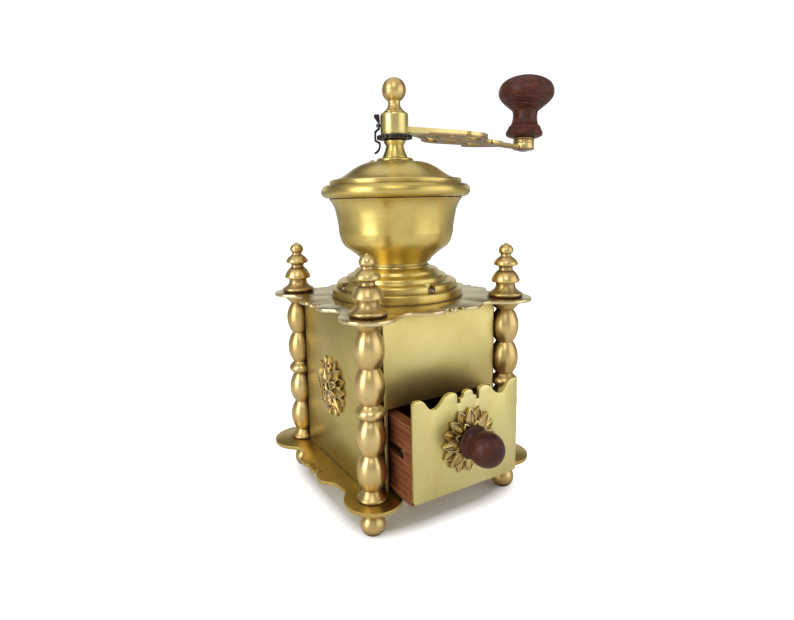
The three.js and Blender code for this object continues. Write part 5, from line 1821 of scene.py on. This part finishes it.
@dataclass
class Crank:
    """The hub, the pierced arm, the ball nut, the latch, the grind nut and the wooden knob."""

    azimuth: float = 5.4
    droop: float = 2.9
    arm_rise: float = 0.8
    reach: float = 126.0
    thickness: float = 3.8
    taper: float = 0.5
    stem: float = 3.0
    root: float = 4.6
    boss_radius: float = 8.0
    boss_height: float = 4.6
    hub_radius: float = 8.9
    hub_height: float = 12.2
    hub_skirt: float = 1.3
    spindle_bore: float = 4.1
    ball: float = 7.7
    ball_height: float = 21.7
    nut_radius: float = 11.4
    nut_root: float = 9.7
    nut_height: float = 3.7
    nut_notches: int = 12
    latch_azimuth: float = 144.0
    latch_width: float = 4.0
    latch_wall: float = 1.3
    latch_pivot: float = 4.7
    latch_gap: float = 0.3
    rivet_bore: float = 2.7
    flange: float = 14.1
    neck: float = 9.0
    head: float = 21.2
    knob_height: float = 46.4

    def frame(self) -> Matrix:
        """The crank's own frame, with the arm along +X."""
        return Matrix.Translation((0, 0, STACK.hub_foot)) @ turn_about("Z", self.azimuth)

    def arm_frame(self) -> Matrix:
        """The drooping frame of the arm and knob."""
        return self.frame() @ Matrix.Translation((0, 0, self.arm_rise)) @ turn_about("Y", self.droop)

    def arm_outline(self) -> tuple[Line, list[Line]]:
        """The arm in plan, and its openings.

        Returns:
            The outline and the openings.
        """
        stem, end = self.stem, self.reach - 4
        arm = Line(4, -self.root + 1, 10).to(8, -self.root, 44, -20.6, 45.2, -19.6)
        arm.sweep(48, -23.2, 58, -23.6, 65, -19.6).sweep(70, -16, 69, -9, 75, -6.6)
        arm.to(84, -5.6, 84, -7, 95, -6.4, 98, -stem, end, -stem, end, stem, 101, stem)
        arm.sweep(97, 8, 91, 17, 84, 21.2).curve(80.6, 23, 79.6, 20.6).to(78.6, 15.6)
        arm.sweep(70, 14.6, 66, 19.6, 57, 22).sweep(50, 25.6, 42, 24.4, 37, 17.6)
        arm.sweep(31, 9.6, 20, 7, 8, self.root).to(4, self.root - 1)
        openings = (
            (20, -5.2, 41, -15.2, 39, -9.4, 27, -4.2),
            (48, -18, 62, -17.4, 67, -9.6, 50, -7.6),
            (22, 4.2, 34, 9.2, 42, 18.6, 52, 19, 48, 12.4, 30, 2.4),
            (31, -2.2, 44, -5.4, 62, -4, 57, 2, 40, 2.2),
            (53, 9, 60, 5.6, 64, 13.4, 58, 16.6),
            (68, 10.4, 76, 11, 82, 16.4, 92, 7.6, 80, 3.4, 68, 4.6),
            (67, -4.6, 78, -2.6, 76, 0.2, 65, 1.2),
        )
        holes = [
            Line(a, b).to(*rest).softened(1.8, closed=True).softened(0.8, closed=True) for a, b,
            *rest in openings
        ]
        return arm.softened(0.5, closed=True), holes

    def arm(self) -> Blank:
        """The arm with its hub and the boss under the knob.

        Returns:
            The blank.
        """
        outline, holes = self.arm_outline()
        plate = Blank.sheet(outline, 0, self.thickness, holes, edge=0.35)
        fall = math.tan(math.radians(self.taper))
        for vert in plate.bm.verts:
            if vert.co.z > self.thickness / 2:
                vert.co.z -= fall * vert.co.x
        r, h = self.boss_radius, self.boss_height
        bore = self.rivet_bore
        boss = Line(bore, 0.0).to(r, 0.0, r, h, bore, h, bore, 0.0)
        plate.joined(Blank.turned(boss.softened(0.4)).shifted(self.reach, 0, 0))
        plate.moved(Matrix.Translation((0, 0, self.arm_rise)) @ turn_about("Y", self.droop))
        r, h, bore = self.hub_radius, self.hub_height, self.spindle_bore
        foot = -self.hub_skirt
        hub = Line(bore, foot).to(r, foot, r, h - 1.6).curve(r, h, r - 1.6, h).to(bore, h, bore, foot)
        return plate.joined(Blank.turned(hub.softened(0.35))).moved(self.frame())

    def ball_nut(self) -> Line:
        """The profile of the ball nut.

        Returns:
            The profile.
        """
        bore, neck, ball = 3.1, 3.9, self.ball
        centre = self.ball_height - ball
        line = Line(bore, 0, 10).to(7.0, 0, 7.0, 0.8).curve(neck + 0.6, 2.2, neck, 5)
        line.arc(0, centre, ball, -math.degrees(math.acos(neck / ball)), 90, 28)
        return line.to(0, 12.3, bore, 12.3, bore, 0).softened(0.3)

    def grind_nut(self) -> Blank:
        """The notched nut that sets the grind.

        Returns:
            The blank.
        """
        step = 360 / self.nut_notches
        outline = Line.through(())
        for notch in range(self.nut_notches):
            root, tip = self.nut_root, self.nut_radius
            for share, radius in ((0.04, root), (0.3, root), (0.38, tip), (0.67, tip), (0.96, tip)):
                angle = math.radians((notch + share) * step)
                outline.points.append((radius * math.cos(angle), radius * math.sin(angle)))
        top = self.nut_height - self.hub_skirt
        crown = Blank.sheet(
            outline.softened(0.5, closed=True), 0, top, [circle(self.spindle_bore, steps=48)], edge=0.3
        )
        return crown.shifted(0, 0, STACK.nut_foot)

    def latch(self) -> Blank:
        """The latch, a thin strip beside the hub.

        Returns:
            The blank.
        """
        gap, tail = self.latch_gap, 8.9
        hub, nut = self.hub_radius + gap, self.nut_radius + gap
        top, below, wall = self.hub_height, -self.nut_height - gap, self.latch_wall
        side = Line(hub + 0.4, top - 0.7).to(
            hub, top - 4, hub, 2.6, nut, 0.4, nut, below - 0.4, tail, below - 1.8
        )
        side.curve(tail - 0.6, below - 7.4, tail + 3.8, below - 9.2).to(tail + 4.4, below - 8.2)
        side.curve(tail + 0.8, below - 6.4, tail + wall, below - 2.6)
        side.to(nut + wall, below - 0.9, nut + wall, 1, hub + wall, 3.1, hub + wall, self.latch_pivot + 1.7)
        side.to(hub + 3.6, top - 2.6).curve(hub + 4.4, top - 0.8, hub + 3, top - 0.7)
        half = self.latch_width / 2
        strip = Blank.sheet(side.softened(0.4, closed=True), -half, half, edge=0.25)
        return strip.moved(self.frame() @ turn_about("Z", self.latch_azimuth) @ turn_about("X", 90))

    def knob(self) -> Line:
        """The profile of the wooden knob.

        Returns:
            The profile.
        """
        flange, neck, head, height = self.flange, self.neck, self.head, self.knob_height
        bore = self.rivet_bore
        line = Line(bore, 0, 12).to(flange - 3.4, 0, flange - 0.8, 1.2)
        line.curve(flange + 0.6, 3.4, flange - 1, 5.4)
        line.to(flange - 1.8, 7, flange - 2.2, 8.2, neck + 1.4, 9.4)
        line.sweep(neck, 13, neck - 0.4, 17.4, neck + 1, 20.4).curve(neck + 5.4, 23.6, head - 3.2, 27.2)
        line.sweep(head + 0.6, 31, head + 0.6, 36, head - 3, 40.4).curve(head - 9, height - 0.6, 0, height)
        line.to(0, 33.3, bore, 33.3, bore, 0)
        for groove in (41.4, 28.2, 23.6, 6.2):
            line = line.scored(groove)
        return line.softened(0.4)

    def ferrule(self) -> Line:
        """The profile of the ring under the knob.

        Returns:
            The profile.
        """
        r, bore = self.boss_radius - 0.1, self.rivet_bore
        ring = Line(bore, 0).to(r, 0, r, 2.4, r - 0.5, 2.8, r, 3.2, r, 4.2, bore, 4.2, bore, 0)
        return ring.softened(0.25)

    def build(self) -> None:
        """Make the crank and all that turns with it."""
        self.arm().shown("pierced_arm", Finish.ARM, Body.CRANK, Slot.SHEET, "crank_arm")
        ball = Blank.turned(self.ball_nut()).moved(
            self.frame() @ Matrix.Translation((0, 0, self.hub_height))
        )
        ball.shown("turned_ball_nut", Finish.TURNED, Body.CRANK, Slot.TURNED, "ball_nut")
        self.grind_nut().shown("notched_nut", Finish.BLACK, Body.NUT, Slot.BLACK_STEEL, "grind_nut")
        self.latch().shown("latch_strip", Finish.BLACK, Body.LATCH, Slot.BLACK_STEEL, "latch")
        at = self.hub_radius + self.latch_gap + self.latch_wall + 0.4
        rivet = Line(0, at - 2).to(0.9, at - 2, 0.9, at, 1.5, at).curve(1.4, at + 0.8, 0, at + 0.8)
        pivot = Matrix.Translation((0, 0, self.latch_pivot))
        place = self.frame() @ turn_about("Z", self.latch_azimuth) @ pivot @ turn_about("Y", 90)
        head = Blank.turned(rivet, Facets.RIVET).moved(place)
        head.shown("latch_rivet", Finish.BLACK, Body.CRANK, Slot.BLACK_STEEL, "latch_pin")
        arm = self.arm_frame() @ Matrix.Translation((self.reach, 0, 0))
        ring_foot = self.boss_height + 0.1
        ring = Blank.turned(self.ferrule()).moved(arm @ Matrix.Translation((0, 0, ring_foot)))
        ring.shown("knob_ring", Finish.TURNED, Body.KNOB, Slot.TURNED, "knob_ferrule")
        knob = Blank.turned(self.knob(), Facets.CRANK_KNOB).moved(
            arm @ Matrix.Translation((0, 0, ring_foot + 4.5))
        )
        knob.shown("wooden_knob", Finish.KNOB, Body.KNOB, Slot.KNOB_WOOD, "crank_knob")


@dataclass
class Drawer:
    """The drawer: its brass front, rosette and knob, and the wooden box."""

    motif: EdgeMotif = field(default_factory=EdgeMotif)
    rosette: Rosette = field(default_factory=Rosette)
    back_of_front: float = -72.0
    front_thickness: float = 2.3
    half_width: float = 37.6
    front_height: float = 59.1
    front_foot: float = 5.2
    corner_at: float = 33.0
    corner_round: float = 2.5
    box_half: float = 37.3
    depth: float = 85.0
    box_foot: float = 3.7
    floor: float = 3.5
    floor_lip: float = 0.5
    side: float = 7.0
    side_height: float = 42.0
    board: float = 6.0
    groove_height: float = 6.6
    groove_depth: float = 4.2
    groove_lift: float = 27.2
    groove_stop: float = 8.0
    knob_head: float = 9.8
    knob_collar: float = 9.9
    knob_reach: float = 25.4
    knob_hole: float = 4.0

    def front(self) -> Blank:
        """The brass front, standing in its place.

        Returns:
            The blank.
        """
        w, h, r = self.half_width, self.front_height, self.corner_round
        half = self.motif.half(1, 1, self.motif.slit_depth)
        half.sweep(
            self.motif.valley_at + 4.5, -self.motif.valley_depth, self.corner_at - 3.5, 0, self.corner_at, 0
        )
        half.to(w - 1.2, 0, w, -1.2)
        half = half.moved(lambda x, y: (x, y + h))
        half.to(w, r).curve(w, 0, w - r, 0)
        outline = half.mirrored().softened(0.35, closed=True)
        sheet = Blank.sheet(outline, 0, self.front_thickness, [circle(self.knob_hole, 0, h / 2)], edge=0.35)
        return sheet.moved(
            Matrix.Translation((0, self.back_of_front, self.front_foot)) @ turn_about("X", 90)
        )

    def side_board(self) -> Blank:
        """The left board with its groove, from the drawer's front to its back.

        Returns:
            The blank.
        """
        low = self.box_foot + self.floor
        high, groove = low + self.side_height, self.box_foot + self.groove_lift
        a, b = -self.box_half, -self.box_half + self.side
        deep, half = self.groove_depth, self.groove_height / 2
        section = Line(a, low).to(b, low, b, high, a, high, a, groove + half, a + deep, groove + half)
        section.to(a + deep, groove - half, a, groove - half)
        start, end = self.back_of_front + self.groove_stop, self.back_of_front + self.depth
        place = Matrix.Translation((0, end, 0)) @ turn_about("X", 90)
        board = Blank.sheet(section, 0, end - start, edge=0).moved(place)
        return board.joined(Blank.bar((a, self.back_of_front + 0.05, low), (b, start + 0.02, high), 0))

    def build(self) -> None:
        """Make the drawer and all its pieces."""
        y0, w = self.back_of_front, self.box_half
        self.front().shown("drawer_face", Finish.DRAWER_FACE, Body.DRAWER, Slot.SHEET, "drawer_front")
        left = self.side_board()
        right = left.copied().moved(Matrix.Diagonal((-1, 1, 1, 1)))
        low, top = self.box_foot + self.floor, self.box_foot + self.floor + self.side_height
        inside = w - self.side - 0.02
        boards = {
            "drawer_left_side": left,
            "drawer_right_side": right,
            "drawer_front_board": Blank.bar((-inside, y0 + 0.05, low), (inside, y0 + self.board, top), 0.4),
            "drawer_back_board": Blank.bar(
                (-inside, y0 + self.depth - self.board, low), (inside, y0 + self.depth, top), 0.4
            ),
            "drawer_floor": Blank.bar(
                (-w - self.floor_lip, y0 + 0.05, self.box_foot),
                (w + self.floor_lip, y0 + self.depth, low - 0.05), 0.4
            ),
        }
        for node, blank in boards.items():
            blank.shown(f"wood_{node}", Finish.BOARD, Body.DRAWER, Slot.DRAWER_WOOD, node)
        self.trim()

    def trim(self) -> None:
        """Put on the rosette, the knob and the small screws."""
        middle = self.front_foot + self.front_height / 2
        place = Matrix.Translation(
            (0, self.back_of_front - self.front_thickness, middle)
        ) @ turn_about("X", 90)
        casting = self.rosette.blank(self.knob_hole).moved(place)
        casting.shown(
            "drawer_casting", Finish.CAST, Body.DRAWER, Slot.CAST, "drawer_rosette", crease=CAST_CREASE
        )
        foot, head, collar, reach = 3.9, self.knob_head, self.knob_collar, self.knob_reach
        line = Line(0, -7.3, 12).to(3.8, -7.3, 3.8, foot, collar - 1, foot)
        line.curve(collar + 0.8, foot + 1.2, collar - 0.6, foot + 2.4)
        line.to(collar - 1.6, foot + 3, collar - 0.9, foot + 4.2, collar - 2.4, foot + 5.4)
        line.sweep(head + 0.6, foot + 7.6, head + 1.6, reach - 5.6, 6.2, reach - 1.7)
        line.curve(3.4, reach, 0, reach)
        knob = Blank.turned(line.softened(0.4), Facets.DRAWER_KNOB).moved(place)
        knob.shown("wooden_drawer_knob", Finish.DRAWER_KNOB, Body.DRAWER, Slot.KNOB_WOOD, "drawer_knob")
        nail = Blank.turned(Line(0, 0.6).to(1.3, 0.6, 1.3, 1.7).curve(1.0, 2.0, 0, 1.9), Facets.NAIL)
        nail.shifted(-12.4, -2, 0).moved(place)
        nail.shown("drawer_rosette_nail", Finish.BLACK, Body.DRAWER, Slot.BLACK_STEEL)
        level = self.box_foot + self.groove_lift
        stop = Line(0, -1).to(1.6, -1, 1.6, 1.2, 2.4, 1.4, 2.5, 2.3).curve(2.2, 3.3, 0, 3.5)
        at = Matrix.Translation(
            (-self.box_half + self.groove_depth, self.back_of_front + self.groove_stop + 2.9, level)
        )
        screw = Blank.turned(stop.softened(0.2), Facets.BOLT).moved(at @ turn_about("Y", -90))
        screw.shown("drawer_stop_screw", Finish.AGED, Body.DRAWER, Slot.STEEL)


@dataclass
class Mechanism:
    """The burrs, the spindle and the other inner pieces, which keep their frame meshes."""

    def build(self) -> None:
        """Dress the pieces that stay as they are."""
        rods = tuple(f"tie_rod_{corner}" for corner in CORNERS)
        screws = ("bridge_screw_left", "bridge_screw_right")
        wear = {
            Finish.IRON: ("outer_burr", "inner_burr"),
            Finish.STEEL: ("lower_bridge", "burr_spring", "spindle", "knob_pin", *screws, *rods),
            Finish.RUNNER: ("drawer_runner_left", "drawer_runner_right"),
        }
        for finish, names in wear.items():
            for name in names:
                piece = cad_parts[name]
                piece.data.materials.clear()
                piece.data.materials.append(finish.material)
                log.info("%s: dressed with %s", name, finish.material.name)


# Studio


@dataclass(frozen=True)
class SoftBox:
    """A soft light: where it hangs, where it points, its size and its strength."""

    name: str
    place: Triple
    size: Pair
    power: float
    target: Triple = (0.0, 0.0, 0.11)

    def hang(self) -> None:
        """Put the light in the scene."""
        lamp = bpy.data.lights.new(self.name, "AREA")
        lamp.shape = "RECTANGLE"
        lamp.size, lamp.size_y = self.size
        lamp.energy = self.power
        holder = bpy.data.objects.new(self.name, lamp)
        holder.location = self.place
        toward = Vector(self.target) - Vector(self.place)
        holder.rotation_euler = toward.to_track_quat("-Z", "Y").to_euler()
        holder.visible_camera = False
        bpy.context.scene.collection.objects.link(holder)


@dataclass
class Studio:
    """The pale floor, the soft lights and the camera."""

    floor_level: float = -0.0203
    floor_radius: float = 6.0
    squareness: float = 5.0
    shadow_rim: Pair = (0.054, 0.07)
    floor_glow: Pair = (0.04, 1.0)
    front_glow: float = 0.3
    front_reach: Pair = (-0.1, -0.6)
    surround_front: Colour = (0.39, 0.38, 0.35, 1)
    surround_back: Colour = (0.1, 0.096, 0.09, 1)
    backdrop: Colour = (0.85, 0.85, 0.82, 1)
    front_span: Pair = (-0.1, 0.75)
    strip_foot: Pair = (0.0, 0.05)
    strip_head: Pair = (0.45, 0.25)
    strip_side: Pair = (0.4, 0.8)
    seen_backdrop: float = 1.1
    camera_place: Triple = (-0.18723, -0.29811, 0.17075)
    right: Triple = (0.857829, -0.513611, -0.018221)
    up: Triple = (0.095423, 0.124337, 0.987641)
    look: Triple = (0.504998, 0.848966, -0.155670)
    focal: float = 24.21
    shift: Pair = (0.01637, -0.0327)
    lights: tuple[SoftBox, ...] = (
        SoftBox("left window", (-0.98, -0.1, 0.4), (0.5, 0.9), 6.0),
        SoftBox("right window", (0.6, -0.92, 0.4), (1.1, 0.9), 3.6),
        SoftBox("high front", (-0.45, -0.68, 0.85), (0.45, 0.45), 2.0),
        SoftBox("overhead", (0.0, 0.1, 1.3), (1.6, 1.6), 4.6),
    )

    def floor(self) -> None:
        """Lay the pale floor. For the camera it glows beyond a rounded square about the feet, so that the
        soft shadow stays near them; for other rays its front glows dimly, a painted light for the brass to
        reflect.
        """
        material, bench, shader, vector = started("Pale floor")
        tone = bench.effect(TONE, vector=vector, scale=1.5, contrast=0.3)
        bench.feed(
            shader.inputs["Base Color"],
            bench.blend(tone.outputs["Mask"], (0.8, 0.8, 0.8, 1), (0.84, 0.84, 0.84, 1))
        )
        shader.inputs["Roughness"].default_value = 0.9
        shader.inputs["Specular IOR Level"].default_value = 0.1
        axes = bench.node("ShaderNodeSeparateXYZ")
        bench.feed(axes.inputs[0], vector)
        corner = bench.plus(
            *(bench.sum("POWER", bench.sum("ABSOLUTE", axes.outputs[i]), self.squareness) for i in (0, 1))
        )
        glow = bench.span(
            bench.sum("POWER", corner, 1 / self.squareness), *self.shadow_rim, *self.floor_glow
        )
        # Painted light: the floor in front glows dimly, and only reflections see it.
        painted_front_glow = bench.span(axes.outputs[1], *self.front_reach, 0.0, self.front_glow)
        seen = bench.node("ShaderNodeLightPath").outputs["Is Camera Ray"]
        shine = bench.blend(
            seen, *(bench.blend(share, (0, 0, 0, 1), (1, 1, 1, 1)) for share in (painted_front_glow, glow))
        )
        bench.feed(shader.inputs["Emission Color"], shine)
        shader.inputs["Emission Strength"].default_value = 1.0
        mesh = bpy.data.meshes.new("floor")
        bm = bmesh.new()
        bmesh.ops.create_circle(
            bm, cap_ends=True, radius=self.floor_radius, segments=96,
            matrix=Matrix.Translation((0, 0, self.floor_level))
        )
        bmesh.ops.recalc_face_normals(bm, faces=bm.faces[:])
        bm.to_mesh(mesh)
        bm.free()
        mesh.materials.append(material)
        floor = bpy.data.objects.new("floor", mesh)
        bpy.context.scene.collection.objects.link(floor)

    def surroundings(self) -> None:
        """A white backdrop for the camera, and dimmer surroundings for the brass."""
        world = bpy.data.worlds.new("Studio")
        bpy.context.scene.world = world
        world.use_nodes = True
        bench = Bench(world.node_tree)
        backdrop = world.node_tree.nodes["Background"]
        toward = bench.node("ShaderNodeVectorMath", operation="DOT_PRODUCT")
        bench.feed(toward.inputs[0], bench.node("ShaderNodeTexCoord").outputs["Generated"])
        bench.feed(toward.inputs[1], self.look)
        share = bench.span(toward.outputs["Value"], *self.front_span)
        around = bench.blend(share, self.surround_front, self.surround_back)
        rise = bench.node("ShaderNodeSeparateXYZ")
        bench.feed(rise.inputs[0], toward.inputs[0].links[0].from_socket)
        low, high = (bench.span(rise.outputs[2], *ends) for ends in (self.strip_foot, self.strip_head))
        strip = bench.times(bench.times(low, high), bench.span(toward.outputs["Value"], *self.strip_side))
        bench.feed(backdrop.inputs["Color"], bench.blend(strip, around, self.backdrop))
        white = bench.node("ShaderNodeBackground")
        white.inputs["Color"].default_value = (1, 1, 1, 1)
        white.inputs["Strength"].default_value = self.seen_backdrop
        mix = bench.node("ShaderNodeMixShader")
        bench.feed(mix.inputs[0], bench.node("ShaderNodeLightPath").outputs["Is Camera Ray"])
        bench.feed(mix.inputs[1], backdrop.outputs[0])
        bench.feed(mix.inputs[2], white.outputs[0])
        bench.feed(world.node_tree.nodes["World Output"].inputs["Surface"], mix.outputs[0])

    def camera(self) -> None:
        """Set the camera where the photograph was taken from."""
        lens = bpy.data.cameras.new("camera")
        lens.sensor_width, lens.lens = 36, self.focal
        lens.shift_x, lens.shift_y = self.shift
        lens.clip_start, lens.clip_end = 0.01, 50
        holder = bpy.data.objects.new("camera", lens)
        columns = Matrix((self.right, self.up, [-value for value in self.look])).transposed()
        holder.matrix_world = Matrix.Translation(self.camera_place) @ columns.to_4x4()
        bpy.context.scene.collection.objects.link(holder)
        bpy.context.scene.camera = holder

    def build(self) -> None:
        """Set up the studio."""
        self.floor()
        self.surroundings()
        for light in self.lights:
            light.hang()
        self.camera()
        bpy.context.scene.view_settings.view_transform = "Standard"


def main() -> None:
    """Build every sub-assembly in order, then the studio."""
    logging.basicConfig(level=logging.INFO, format="%(message)s")
    assemblies = (
        Plates(), CasePanels(), Columns(), Ornaments(), Hopper(),
        Lid(), Crank(), Drawer(), Mechanism(), Studio(),
    )
    for assembly in assemblies:
        log.info("building %s", type(assembly).__name__)
        assembly.build()


if __name__ == "__main__":
    main()
